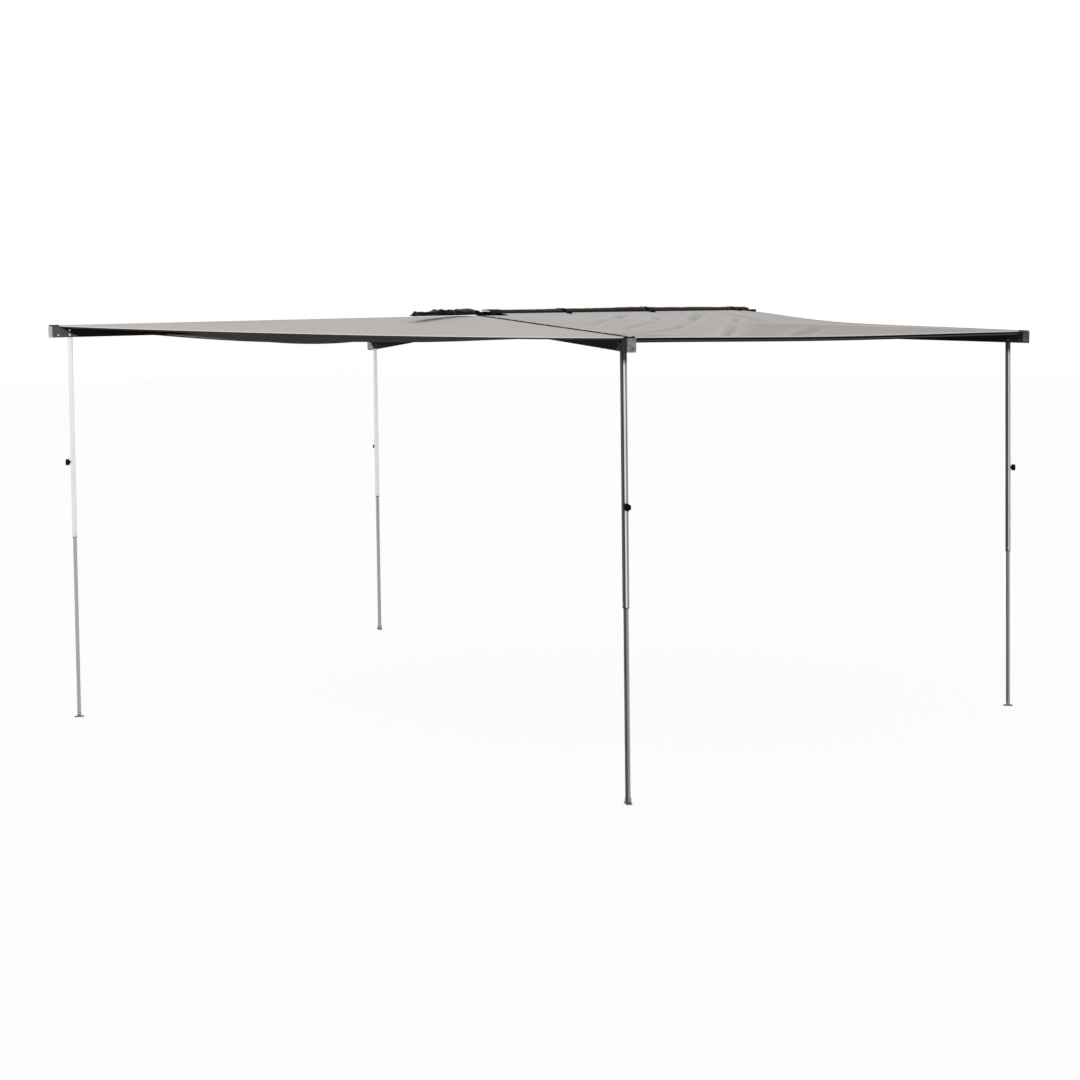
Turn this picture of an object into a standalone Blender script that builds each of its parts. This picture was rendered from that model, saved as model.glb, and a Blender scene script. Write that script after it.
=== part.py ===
"""A fan-shaped side awning for a vehicle, opened out and standing on its four legs.

A rail bolts to the vehicle's roof rack. A hinge plate on top of its rear end holds one upright
pivot bolt, and four arms fan out from that bolt with the canopy sewn between them. Each arm
is a channel, open underneath, that takes its own telescopic leg when the leg folds up.

Metres, +Z up. The rail runs along +X, the vehicle is on the +Y side, and the ground is z = 0.
Sizes marked "level" are heights measured from the arms' centreline at the pivot.
"""

import math
from dataclasses import dataclass

import bmesh
import bpy
from mathutils import Matrix, Vector

TOUCH_GAP = 0.0003

HUB_HEIGHT = 2.1315
LANE_FIRST = 0.022
LANE_PITCH = 0.043

CHANNEL_WIDTH = 0.034
CHANNEL_HEIGHT = 0.062
CHANNEL_WALL = 0.002
CHANNEL_CORNER = 0.004

BOLT_RADIUS = 0.008
BOLT_PLAY = 0.0008
BOLT_HEAD_RADIUS = 0.015
BOLT_HEAD_HEIGHT = 0.007
BOLT_HEAD_PLAY = 0.001
NUT_HEIGHT = 0.012
BOLT_TAIL = 0.004
EYE_RADIUS = 0.020
EYE_THICKNESS = 0.012
EYE_PITCH = 0.016
EYE_TOP_LEVEL = 0.033
WASHER_RADIUS = 0.016

LINK_HALF_WIDTH = 0.0135
LINK_CORNER = 0.006
SHELF_LENGTH = 0.010
BLOCK_LENGTH = 0.047
TONGUE_LENGTH = 0.090
TONGUE_DEPTH = 0.050
CHANNEL_START = 0.003

HINGE_PLATE_THICKNESS = 0.006
HINGE_PLATE_RADIUS = 0.024
HINGE_PLATE_LENGTH = 0.150
HINGE_PLATE_INSET = 0.004
HINGE_PLATE_NECK = 0.028
BOSS_RADIUS = 0.014
BOSS_PLAY = 0.0005

RAIL_LEVEL = 0.0173
RAIL_RISE = math.radians(0.45)
RAIL_START = 0.045
RAIL_LENGTH = 2.885
RAIL_FRONT = 0.004
RAIL_DEPTH = 0.060
RAIL_HEIGHT = 0.031
RAIL_WALL = 0.0025
SLOT_MOUTH = 0.008
SLOT_WIDTH = 0.015
SLOT_LIP = 0.003
SLOT_DEPTH = 0.010
GROOVE_RADIUS = 0.004
GROOVE_MOUTH = 0.003
GROOVE_WALL = 0.0018
END_CAP_THICKNESS = 0.004
END_CAP_PLUG = 0.020

BRACKET_WALL = 0.0027
BRACKET_TOP_LENGTH = 0.055
BRACKET_BOTTOM_LENGTH = 0.157
PIN_TO_CAP = 0.108
PIN_DROP = 0.018
PIN_RADIUS = 0.004
PIN_HEAD_RADIUS = 0.007
PIN_HEAD_HEIGHT = 0.003
STOP_RADIUS = 0.003
STOP_RAISE = 0.0045

LEG_WIDTH = 0.026
LEG_WALL = 0.0015
LEG_CORNER = 0.004
LEG_ABOVE_PIN = 0.008
INNER_WIDTH = 0.020
INNER_WALL = 0.0015
INNER_CORNER = 0.003
INNER_LENGTH = 1.430
BUSH_SLEEVE = 0.025
BUSH_FLANGE = 0.003

KNOB_DROP = 0.690
KNOB_RADIUS = 0.01675
KNOB_LOBES = 6
KNOB_LOBE_DEPTH = 0.0016
KNOB_STEM_RADIUS = 0.004
KNOB_COLLAR_RADIUS = 0.008
KNOB_HEAD_START = 0.0185
KNOB_HEAD_THICKNESS = 0.020

FOOT_LENGTH = 0.050
FOOT_WIDTH = 0.026
FOOT_THICKNESS = 0.004
FOOT_PIN_HEIGHT = 0.020
FOOT_PIN_RADIUS = 0.003
FOOT_PIN_HEAD_RADIUS = 0.005
FOOT_PIN_HEAD_HEIGHT = 0.0012
EAR_THICKNESS = 0.0024
EAR_RADIUS = 0.008
PEG_HOLE_RADIUS = 0.003
PEG_HOLE_OFFSET = 0.018
INNER_END_HEIGHT = 0.008

CANOPY_THICKNESS = 0.001
CANOPY_LIFT = 0.0017
CANOPY_ROOT_INSET = 0.060
CANOPY_TIP_INSET = 0.060
CANOPY_RAIL_INSET = 0.085
CANOPY_RAIL_END_INSET = 0.235
SEAM_GAP = 0.0004
FLAT_ON_ARM = 0.0185
CANOPY_ACROSS = 14
CANOPY_ALONG = 8

COVER_LENGTH = 2.680
COVER_LEAST_HEIGHT = 0.0125
COVER_SWELL = 0.011
COVER_OVERHANG = 0.003
BUNCH_LENGTH = 0.690
BUNCH_START_HEIGHT = 0.024
BUNCH_START_WIDTH = 0.044
BUNCH_WIDTH = 0.130
BUNCH_HEIGHT = 0.026
BUNCH_CLEARANCE = 0.0035
BUNCH_SIDE = 0.2
STRAP_WIDTH = 0.025
STRAP_THICKNESS = 0.002
STRAP_CLEARANCE = 0.0006
STRAP_TAIL = 0.045
STRAP_PLACES = (0.70, 1.57, 2.62)
BUCKLE_SIZE = (0.034, 0.020, 0.007)

ROUND_STEPS = 16


@dataclass(frozen=True)
class Arm:
    """One arm of the fan: the angle from its neighbour, its droop, its root, reach and leg tube."""

    name: str
    fan_degrees: float
    droop_degrees: float
    root: float
    reach: float
    leg_length: float

    @property
    def droop(self):
        """The arm's slope below level, in radians."""
        return math.radians(self.droop_degrees)

    @property
    def block_end(self):
        """How far from the pivot the arm's slope starts."""
        return self.root + BLOCK_LENGTH


@dataclass(frozen=True)
class Panel:
    """The canopy between two arms.

    Its middle hangs by the belly and its outer edge by the sag, and the edge is cut hollow. A low
    roundness hangs like a tray and a high one like a trough. A low outwardness puts the deepest
    place near the pivot and a high one puts it near the outer edge.
    """

    name: str
    belly: float
    edge_sag: float
    edge_hollow: float
    roundness: float
    outwardness: float
    folds: int
    fold_depth: float

    def hang(self, across, share):
        """Returns how far the cloth hangs below its two arms at a place on it."""
        deepest = self.outwardness / (self.outwardness + 1)
        peak = deepest**self.outwardness * (1 - deepest)
        middle = share**self.outwardness * (1 - share) / peak
        slack = math.sin(math.pi * across)
        ripple = math.sin(2 * math.pi * self.folds * across) * self.fold_depth
        drop = self.belly * middle + self.edge_sag * share**2 - ripple * share
        return drop * max(0.0, slack) ** self.roundness


ARMS = (
    Arm("front", 60.8, 2.45, 0.020, 2.872, 1.150),
    Arm("side", 64.8, 2.70, 0.020, 2.549, 1.138),
    Arm("corner", 93.1, 0.75, 0.020, 2.275, 1.104),
    Arm("rear", 81.2, 3.45, 0.185, 2.585, 1.043),
)

PANELS = (
    Panel("rail", 0.020, 0.015, 0.200, 2.30, 1.00, 3, 0.003),
    Panel("front", 0.071, 0.009, 0.071, 1.56, 0.69, 3, 0.003),
    Panel("side", 0.067, 0.014, 0.055, 0.70, 2.35, 2, 0.002),
    Panel("rear", 0.088, 0.035, 0.081, 1.21, 0.93, 2, 0.002),
)

ALONG_X = Matrix(((0, 0, 1, 0), (1, 0, 0, 0), (0, 1, 0, 0), (0, 0, 0, 1)))
ALONG_Y = Matrix(((1, 0, 0, 0), (0, 0, -1, 0), (0, 1, 0, 0), (0, 0, 0, 1)))
TURNED_ON_X = Matrix(((0, 0, 1, 0), (0, 1, 0, 0), (-1, 0, 0, 0), (0, 0, 0, 1)))
TURNED_ON_Y = Matrix(((1, 0, 0, 0), (0, 0, 1, 0), (0, -1, 0, 0), (0, 0, 0, 1)))


def clear_scene():
    """Removes everything that the file starts with."""
    for item in list(bpy.data.objects):
        bpy.data.objects.remove(item, do_unlink=True)


def make_collection(name):
    """Returns a new collection in the scene."""
    collection = bpy.data.collections.new(name)
    bpy.context.scene.collection.children.link(collection)
    return collection


def make_material(name, colour, roughness, metallic):
    """Returns a plain finish."""
    material = bpy.data.materials.new(name)
    material.use_nodes = True
    shader = material.node_tree.nodes["Principled BSDF"]
    shader.inputs["Base Color"].default_value = (*colour, 1.0)
    shader.inputs["Roughness"].default_value = roughness
    shader.inputs["Metallic"].default_value = metallic
    material.diffuse_color = (*colour, 1.0)
    return material


def evaluated_mesh(item):
    """Returns the object's mesh with its modifiers applied, and removes the object."""
    bpy.context.view_layer.update()
    graph = bpy.context.evaluated_depsgraph_get()
    mesh = bpy.data.meshes.new_from_object(item.evaluated_get(graph))
    bpy.data.objects.remove(item, do_unlink=True)
    return mesh


def temporary(data):
    """Returns an object that holds the data while it is being shaped."""
    item = bpy.data.objects.new("shaping", data)
    bpy.context.scene.collection.objects.link(item)
    return item


def weld(mesh, distance=0.00001):
    """Joins points that lie together and turns every face outwards."""
    shape = bmesh.new()
    shape.from_mesh(mesh)
    bmesh.ops.remove_doubles(shape, verts=shape.verts, dist=distance)
    bmesh.ops.recalc_face_normals(shape, faces=shape.faces)
    shape.to_mesh(mesh)
    shape.free()
    return mesh


def moved(mesh, matrix):
    """Returns the mesh after it is moved by the matrix."""
    mesh.transform(matrix)
    return mesh


def combine(mesh, others, operation):
    """Returns the mesh after the others are joined to it or cut from it."""
    for other in others:
        host = temporary(mesh)
        tool = temporary(other)
        modifier = host.modifiers.new("combine", "BOOLEAN")
        modifier.operation = operation
        modifier.solver = "EXACT"
        modifier.object = tool
        mesh = evaluated_mesh(host)
        bpy.data.objects.remove(tool, do_unlink=True)
    return mesh


def joined(mesh, *others):
    """Returns the mesh with the others joined to it."""
    return combine(mesh, others, "UNION")


def cut(mesh, *others):
    """Returns the mesh with the others cut from it."""
    return combine(mesh, others, "DIFFERENCE")


def box_mesh(low, high, rounding=0.0, rounded_axis=None):
    """Returns a box between two corners, its edges along one axis rounded if a rounding is given."""
    shape = bmesh.new()
    bmesh.ops.create_cube(shape, size=1.0)
    size = [b - a for a, b in zip(low, high)]
    centre = [(a + b) / 2 for a, b in zip(low, high)]
    bmesh.ops.transform(
        shape,
        matrix=Matrix.Translation(centre) @ Matrix.Diagonal((*size, 1.0)),
        verts=shape.verts,
    )
    if rounding > 0:
        chosen = [e for e in shape.edges if runs_along(e, rounded_axis)]
        bmesh.ops.bevel(
            shape, geom=chosen, offset=rounding, segments=3, profile=0.5, affect="EDGES"
        )
    mesh = bpy.data.meshes.new("box")
    shape.to_mesh(mesh)
    shape.free()
    return mesh


def runs_along(edge, axis):
    """Says whether an edge runs along the axis, 0 for X, 1 for Y and 2 for Z."""
    way = edge.verts[1].co - edge.verts[0].co
    return abs(way[axis]) > 0.99 * way.length


def outline_mesh(loops, depth):
    """Returns a flat outline of the given depth about z = 0; a loop inside another is a hole."""
    curve = bpy.data.curves.new("outline", "CURVE")
    curve.dimensions = "2D"
    curve.fill_mode = "BOTH"
    curve.extrude = depth / 2
    for loop in loops:
        spline = curve.splines.new("POLY")
        spline.points.add(len(loop) - 1)
        for point, (x, y) in zip(spline.points, loop):
            point.co = (x, y, 0.0, 1.0)
        spline.use_cyclic_u = True
    return weld(evaluated_mesh(temporary(curve)))


def turned_mesh(profile, steps=ROUND_STEPS):
    """Returns a shape turned about Z from (radius, height) points, listed from the top down."""
    mesh = bpy.data.meshes.new("profile")
    points = [(radius, 0.0, height) for radius, height in profile]
    edges = [(i, i + 1) for i in range(len(points) - 1)]
    mesh.from_pydata(points, edges, [])
    item = temporary(mesh)
    screw = item.modifiers.new("turn", "SCREW")
    screw.steps = steps
    screw.render_steps = steps
    screw.use_merge_vertices = True
    screw.merge_threshold = 0.00001
    return weld(evaluated_mesh(item))


def arc(centre, radius, start, end, steps):
    """Returns points along an arc, its angles in degrees."""
    turns = [math.radians(start + (end - start) * i / steps) for i in range(steps + 1)]
    return [
        (centre[0] + radius * math.cos(t), centre[1] + radius * math.sin(t))
        for t in turns
    ]


def rounded_square(width, corner, steps=2):
    """Returns the outline of a square with round corners, centred on the origin."""
    inset = width / 2 - corner
    points = []
    for quarter in range(4):
        turn = math.radians(90 * quarter + 45)
        middle = (
            inset * math.copysign(1, math.cos(turn)),
            inset * math.copysign(1, math.sin(turn)),
        )
        points += arc(middle, corner, 90 * quarter, 90 * quarter + 90, steps)
    return points


def circle(centre, radius, steps=ROUND_STEPS):
    """Returns the outline of a circle."""
    return arc(centre, radius, 0, 360, steps)[:-1]


def square_tube(width, wall, corner, low, high):
    """Returns an open square tube that stands between two heights."""
    outer = rounded_square(width, corner)
    inner = rounded_square(width - 2 * wall, corner - wall)
    mesh = outline_mesh([outer, inner], high - low)
    return moved(mesh, Matrix.Translation((0, 0, (low + high) / 2)))


def rod_along_y(radius, half_length, x, z):
    """Returns a plain round rod across the arm, for a hole, a stop or a pin."""
    mesh = turned_mesh(
        [(0, half_length), (radius, half_length), (radius, -half_length), (0, -half_length)]
    )
    return moved(mesh, Matrix.Translation((x, 0, z)) @ TURNED_ON_Y)


def headed_pin(shank_radius, half_grip, head_radius, head_height):
    """Returns a pin across the arm with a low round head at each end."""
    end = half_grip + head_height
    rim = head_height * 0.4
    profile = [
        (0, end),
        (head_radius - rim, end),
        (head_radius, end - rim),
        (head_radius, half_grip),
        (shank_radius, half_grip),
    ]
    mirrored = [(radius, -height) for radius, height in reversed(profile)]
    return moved(turned_mesh(profile + mirrored), TURNED_ON_Y)


class Builder:
    """Places finished pieces in the part's collection, each in the frame that carries it."""

    def __init__(self):
        self.parts = make_collection("vehicle_side_awning")
        self.frames = make_collection("frames")
        self.finishes = {
            "black": make_material("black_coated_aluminium", (0.020, 0.020, 0.021), 0.45, 0.3),
            "bracket": make_material("grey_bracket", (0.22, 0.22, 0.23), 0.42, 0.8),
            "bright": make_material("bright_tube", (0.78, 0.79, 0.80), 0.25, 0.9),
            "steel": make_material("zinc_steel", (0.55, 0.56, 0.58), 0.35, 0.9),
            "plastic": make_material("black_plastic", (0.018, 0.018, 0.018), 0.55, 0.0),
            "canopy": make_material("grey_canopy", (0.48, 0.46, 0.43), 0.85, 0.0),
            "cover": make_material("black_cover", (0.025, 0.025, 0.026), 0.60, 0.0),
            "webbing": make_material("black_webbing", (0.015, 0.015, 0.016), 0.80, 0.0),
        }

    def frame(self, name, parent=None, location=(0, 0, 0), turn=None):
        """Returns an empty that carries pieces, placed in its parent's frame."""
        empty = bpy.data.objects.new(name, None)
        empty.empty_display_size = 0.05
        self.frames.objects.link(empty)
        empty.parent = parent
        empty.location = location
        if turn is not None:
            empty.rotation_euler = turn
        return empty

    def piece(self, name, mesh, finish, parent):
        """Adds one finished piece, its mesh already in the parent's frame."""
        mesh = mesh.copy()
        mesh.name = name
        mesh.materials.clear()
        mesh.materials.append(self.finishes[finish])
        mesh.shade_smooth()
        mesh.set_sharp_from_angle(angle=math.radians(32))
        item = bpy.data.objects.new(name, mesh)
        self.parts.objects.link(item)
        item.parent = parent
        return item


def lane(index):
    """Returns how far an arm's centreline lies beside the pivot."""
    return LANE_FIRST + index * LANE_PITCH


def eye_level(index):
    """Returns the top of an arm's pivot eye."""
    return EYE_TOP_LEVEL - index * EYE_PITCH


def pin_along(arm):
    """Returns the leg pin's distance down the sloping arm."""
    return (arm.reach - arm.block_end) / math.cos(arm.droop)


def arm_length(arm):
    """Returns the sloping arm's length, out to the face of its end bracket."""
    return pin_along(arm) + PIN_TO_CAP + BRACKET_WALL


def link_mesh(index):
    """Returns an arm's root: its pivot eye, the link beside it, a block and the channel's tongue."""
    side = -lane(index)
    root = ARMS[index].root
    end = ARMS[index].block_end
    top = eye_level(index)
    low = top - EYE_THICKNESS
    half = CHANNEL_WIDTH / 2
    deep = CHANNEL_HEIGHT / 2
    meets = min(lane(index) - half, math.sqrt(EYE_RADIUS**2 - LINK_HALF_WIDTH**2))
    turn = math.degrees(math.asin(meets / EYE_RADIUS))
    inner_turn = math.degrees(math.acos(LINK_HALF_WIDTH / EYE_RADIUS))
    outline = arc((0, 0), EYE_RADIUS, -turn, 180 + inner_turn, 16)
    outline += [
        (-LINK_HALF_WIDTH, side - half + LINK_CORNER),
        (LINK_CORNER - LINK_HALF_WIDTH, side - half),
        (root + SHELF_LENGTH, side - half),
        (root + SHELF_LENGTH, side + half),
    ]
    if meets < lane(index) - half:
        outline.append((LINK_HALF_WIDTH, side + half))
    bore = circle((0, 0), BOLT_RADIUS + BOLT_PLAY)
    plate = outline_mesh([outline, bore], EYE_THICKNESS)
    plate = moved(plate, Matrix.Translation((0, 0, (top + low) / 2)))
    block = box_mesh(
        (root, side - half, -deep), (end, side + half, deep), CHANNEL_CORNER, 0
    )
    tongue_half = half - CHANNEL_WALL - TOUCH_GAP
    tongue_top = deep - CHANNEL_WALL - TOUCH_GAP
    tongue = box_mesh(
        (-0.020, -tongue_half, tongue_top - TONGUE_DEPTH),
        (TONGUE_LENGTH, tongue_half, tongue_top),
        CHANNEL_CORNER - CHANNEL_WALL,
        0,
    )
    slope = Matrix.Translation((end, side, 0)) @ Matrix.Rotation(ARMS[index].droop, 4, "Y")
    return joined(plate, block, moved(tongue, slope))


def channel_mesh(arm):
    """Returns an arm's channel, open underneath, with the leg pin's hole near its tip."""
    half = CHANNEL_WIDTH / 2
    deep = CHANNEL_HEIGHT / 2
    bend = CHANNEL_CORNER
    inner_half = half - CHANNEL_WALL
    inner_top = deep - CHANNEL_WALL
    inner_bend = bend - CHANNEL_WALL
    outer = arc((half - bend, deep - bend), bend, 0, 90, 4)
    outer += arc((bend - half, deep - bend), bend, 90, 180, 4)
    inner = arc((inner_half - inner_bend, inner_top - inner_bend), inner_bend, 0, 90, 2)
    inner += arc((inner_bend - inner_half, inner_top - inner_bend), inner_bend, 90, 180, 2)
    loop = [(half, -deep), *outer, (-half, -deep), (-inner_half, -deep)]
    loop += [*reversed(inner), (inner_half, -deep)]
    end = pin_along(arm) + PIN_TO_CAP - TOUCH_GAP
    mesh = moved(outline_mesh([loop], end - CHANNEL_START), ALONG_X)
    mesh = moved(mesh, Matrix.Translation(((end + CHANNEL_START) / 2, 0, 0)))
    pin = pin_along(arm)
    hole = rod_along_y(PIN_RADIUS + TOUCH_GAP, CHANNEL_WIDTH, pin, -PIN_DROP)
    room = STOP_RADIUS + TOUCH_GAP
    notch = box_mesh(
        (pin + stop_along(arm) - room, -CHANNEL_WIDTH, -CHANNEL_HEIGHT),
        (pin + stop_along(arm) + room, CHANNEL_WIDTH, STOP_RAISE + room - deep),
    )
    return cut(mesh, hole, notch)


def stop_along(arm):
    """Returns how far the leg's stop bar lies beyond the leg pin, to meet an upright leg."""
    below_pin = CHANNEL_HEIGHT / 2 - STOP_RAISE - PIN_DROP
    reach = LEG_WIDTH / 2 + TOUCH_GAP + STOP_RADIUS
    return (reach + below_pin * math.sin(arm.droop)) / math.cos(arm.droop)


def bracket_mesh(arm):
    """Returns the end bracket, two cheeks and an end wall with the leg's stop bar between them."""
    deep = CHANNEL_HEIGHT / 2
    half = CHANNEL_WIDTH / 2 + TOUCH_GAP
    tip = PIN_TO_CAP + BRACKET_WALL
    top_in = tip - BRACKET_TOP_LENGTH
    bottom_in = tip - BRACKET_BOTTOM_LENGTH
    outline = [(tip, -deep), (tip, deep), (top_in, deep)]
    for step in range(1, 5):
        share = step / 5
        bow = 0.006 * math.sin(math.pi * share)
        x = top_in + (bottom_in - top_in) * share - bow
        outline.append((x, deep - CHANNEL_HEIGHT * share * 0.94 - bow))
    outline += [(bottom_in, -deep * 0.88), (bottom_in, -deep)]
    mesh = moved(outline_mesh([outline], 2 * (half + BRACKET_WALL)), ALONG_Y)
    room = box_mesh(
        (bottom_in - BRACKET_WALL, -half, -CHANNEL_HEIGHT), (PIN_TO_CAP, half, CHANNEL_HEIGHT)
    )
    mesh = cut(mesh, room)
    stop = rod_along_y(STOP_RADIUS, half + BRACKET_WALL / 2, stop_along(arm), STOP_RAISE - deep)
    mesh = joined(mesh, stop)
    hole = rod_along_y(PIN_RADIUS + TOUCH_GAP, 2 * half, 0, -PIN_DROP)
    return cut(mesh, hole)


def outer_leg_mesh(arm):
    """Returns the upper leg tube, with its pin's hole and the hole for the knob's screw."""
    low = LEG_ABOVE_PIN - arm.leg_length
    tube = square_tube(LEG_WIDTH, LEG_WALL, LEG_CORNER, low, LEG_ABOVE_PIN)
    pin_hole = rod_along_y(PIN_RADIUS + TOUCH_GAP, LEG_WIDTH, 0, 0)
    reach = KNOB_STEM_RADIUS + TOUCH_GAP
    screw_hole = turned_mesh(
        [(0, LEG_WIDTH), (reach, LEG_WIDTH), (reach, INNER_WIDTH / 4), (0, INNER_WIDTH / 4)], 12
    )
    screw_hole = moved(screw_hole, Matrix.Translation((0, 0, -KNOB_DROP)) @ TURNED_ON_X)
    return cut(tube, pin_hole, screw_hole)


def inner_leg_mesh(low):
    """Returns the lower leg tube, with the foot pin's hole near its end."""
    tube = square_tube(INNER_WIDTH, INNER_WALL, INNER_CORNER, low, low + INNER_LENGTH)
    height = low + FOOT_PIN_HEIGHT - INNER_END_HEIGHT
    return cut(tube, rod_along_y(FOOT_PIN_RADIUS + TOUCH_GAP, INNER_WIDTH, 0, height))


def bush_mesh(arm):
    """Returns the guide in the upper tube's mouth, a thin sleeve on a square flange."""
    mouth = LEG_ABOVE_PIN - arm.leg_length
    bore = rounded_square(INNER_WIDTH + 2 * TOUCH_GAP, INNER_CORNER)
    flange_top = mouth - TOUCH_GAP
    flange = outline_mesh([rounded_square(LEG_WIDTH, LEG_CORNER), bore], BUSH_FLANGE)
    flange = moved(flange, Matrix.Translation((0, 0, flange_top - BUSH_FLANGE / 2)))
    sleeve_width = LEG_WIDTH - 2 * LEG_WALL - 2 * TOUCH_GAP
    sleeve_corner = LEG_CORNER - LEG_WALL
    length = BUSH_SLEEVE + BUSH_FLANGE / 2
    sleeve = outline_mesh([rounded_square(sleeve_width, sleeve_corner), bore], length)
    middle = flange_top - BUSH_FLANGE / 2 + length / 2
    return joined(flange, moved(sleeve, Matrix.Translation((0, 0, middle))))


def knob_mesh():
    """Returns the lock knob on its screw, the screw along X with its tip at the inner tube."""
    tip = INNER_WIDTH / 2 + TOUCH_GAP
    seat = LEG_WIDTH / 2 + TOUCH_GAP
    head_end = KNOB_HEAD_START + KNOB_HEAD_THICKNESS
    stem = turned_mesh(
        [
            (0, KNOB_HEAD_START + 0.002),
            (KNOB_COLLAR_RADIUS, KNOB_HEAD_START + 0.002),
            (KNOB_COLLAR_RADIUS, seat),
            (KNOB_STEM_RADIUS, seat),
            (KNOB_STEM_RADIUS, tip),
            (0, tip),
        ]
    )
    loop = []
    steps = KNOB_LOBES * 6
    for step in range(steps):
        turn = 2 * math.pi * step / steps
        radius = KNOB_RADIUS - KNOB_LOBE_DEPTH * (0.5 - 0.5 * math.cos(KNOB_LOBES * turn))
        loop.append((radius * math.cos(turn), radius * math.sin(turn)))
    head = outline_mesh([loop], KNOB_HEAD_THICKNESS)
    shape = bmesh.new()
    shape.from_mesh(head)
    bmesh.ops.dissolve_limit(
        shape, angle_limit=math.radians(1), verts=shape.verts, edges=shape.edges
    )
    rims = [e for e in shape.edges if abs(e.verts[0].co.z - e.verts[1].co.z) < 1e-6]
    bmesh.ops.bevel(shape, geom=rims, offset=0.0016, segments=2, profile=0.6, affect="EDGES")
    shape.to_mesh(head)
    shape.free()
    head = moved(head, Matrix.Translation((0, 0, (KNOB_HEAD_START + head_end) / 2)))
    return moved(joined(head, stem), TURNED_ON_X)


def foot_mesh():
    """Returns the foot about its pin: a plate with two peg holes and two round ears."""
    floor = -FOOT_PIN_HEIGHT
    top = floor + FOOT_THICKNESS
    half = FOOT_WIDTH / 2
    plate = box_mesh(
        (-FOOT_LENGTH / 2, -half, floor), (FOOT_LENGTH / 2, half, top), FOOT_THICKNESS, 2
    )
    ear = [(EAR_RADIUS, top - FOOT_THICKNESS / 2)]
    ear += arc((0, 0), EAR_RADIUS, 0, 180, 8)
    ear += [(-EAR_RADIUS, top - FOOT_THICKNESS / 2)]
    ears = []
    for side in (-1, 1):
        middle = side * (half - EAR_THICKNESS / 2)
        shape = moved(outline_mesh([ear], EAR_THICKNESS), ALONG_Y)
        ears.append(moved(shape, Matrix.Translation((0, middle, 0))))
    mesh = joined(plate, *ears)
    pin_hole = rod_along_y(FOOT_PIN_RADIUS + TOUCH_GAP, FOOT_WIDTH, 0, 0)
    holes = [
        moved(
            turned_mesh(
                [(0, 0.01), (PEG_HOLE_RADIUS, 0.01), (PEG_HOLE_RADIUS, -0.01), (0, -0.01)], 12
            ),
            Matrix.Translation((side * PEG_HOLE_OFFSET, 0, floor + FOOT_THICKNESS / 2)),
        )
        for side in (-1, 1)
    ]
    return cut(mesh, pin_hole, *holes)


def rail_levels():
    """Returns the rail's underside and top."""
    return RAIL_LEVEL, RAIL_LEVEL + RAIL_HEIGHT


def rail_back():
    """Returns the rail's back face, which bolts against the rack."""
    return RAIL_FRONT + RAIL_DEPTH


def hinge_plate_low():
    """Returns the underside of the hinge plate, which lies on the rail's top."""
    return rail_levels()[1] + TOUCH_GAP


def hinge_plate_mesh():
    """Returns the plate on the rail's top that carries the pivot bolt, with a boss under it."""
    radius = HINGE_PLATE_RADIUS
    far = HINGE_PLATE_LENGTH
    near = RAIL_FRONT + HINGE_PLATE_INSET
    back = rail_back() - HINGE_PLATE_INSET
    neck = HINGE_PLATE_NECK
    loop = arc((0, 0), radius, 90, 270, 12)
    loop += [(neck, -radius), (neck + radius + near, near), (far, near), (far, back)]
    loop += [(neck + back - radius, back), (neck, radius)]
    low = hinge_plate_low()
    middle = low + HINGE_PLATE_THICKNESS / 2
    plate = moved(outline_mesh([loop], HINGE_PLATE_THICKNESS), Matrix.Translation((0, 0, middle)))
    foot = EYE_TOP_LEVEL + BOSS_PLAY
    boss = turned_mesh([(0, middle), (BOSS_RADIUS, middle), (BOSS_RADIUS, foot), (0, foot)])
    bore = BOLT_RADIUS + BOLT_PLAY
    above = middle + HINGE_PLATE_THICKNESS
    hole = turned_mesh([(0, above), (bore, above), (bore, 0), (0, 0)])
    return cut(joined(plate, boss), hole)


def bolt_mesh():
    """Returns the pivot bolt with its low domed head, long enough for the plate, eyes and nut."""
    head_low = hinge_plate_low() + HINGE_PLATE_THICKNESS + BOLT_HEAD_PLAY
    head_top = head_low + BOLT_HEAD_HEIGHT
    end = nut_top() - NUT_HEIGHT - BOLT_TAIL
    return turned_mesh(
        [
            (0, head_top),
            (BOLT_HEAD_RADIUS * 0.5, head_top - 0.0008),
            (BOLT_HEAD_RADIUS * 0.85, head_top - 0.003),
            (BOLT_HEAD_RADIUS, head_top - 0.006),
            (BOLT_HEAD_RADIUS, head_low),
            (BOLT_RADIUS, head_low),
            (BOLT_RADIUS, end + 0.001),
            (BOLT_RADIUS - 0.001, end),
            (0, end),
        ]
    )


def nut_top():
    """Returns the top of the nut, just under the lowest eye."""
    lowest = min(eye_level(index) for index in range(len(ARMS)))
    return lowest - EYE_THICKNESS - TOUCH_GAP


def nut_mesh():
    """Returns the hexagonal lock nut on the bolt's end."""
    hexagon = circle((0, 0), BOLT_RADIUS * 1.75, 6)
    bore = circle((0, 0), BOLT_RADIUS + TOUCH_GAP / 3)
    mesh = outline_mesh([hexagon, bore], NUT_HEIGHT)
    return moved(mesh, Matrix.Translation((0, 0, nut_top() - NUT_HEIGHT / 2)))


def washer_mesh(index):
    """Returns the plain washer under an arm's eye, which keeps it clear of the next one."""
    top = eye_level(index) - EYE_THICKNESS - TOUCH_GAP
    low = eye_level(index + 1) + TOUCH_GAP
    rings = [circle((0, 0), WASHER_RADIUS, 24), circle((0, 0), BOLT_RADIUS + TOUCH_GAP)]
    return moved(outline_mesh(rings, top - low), Matrix.Translation((0, 0, (top + low) / 2)))


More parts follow.
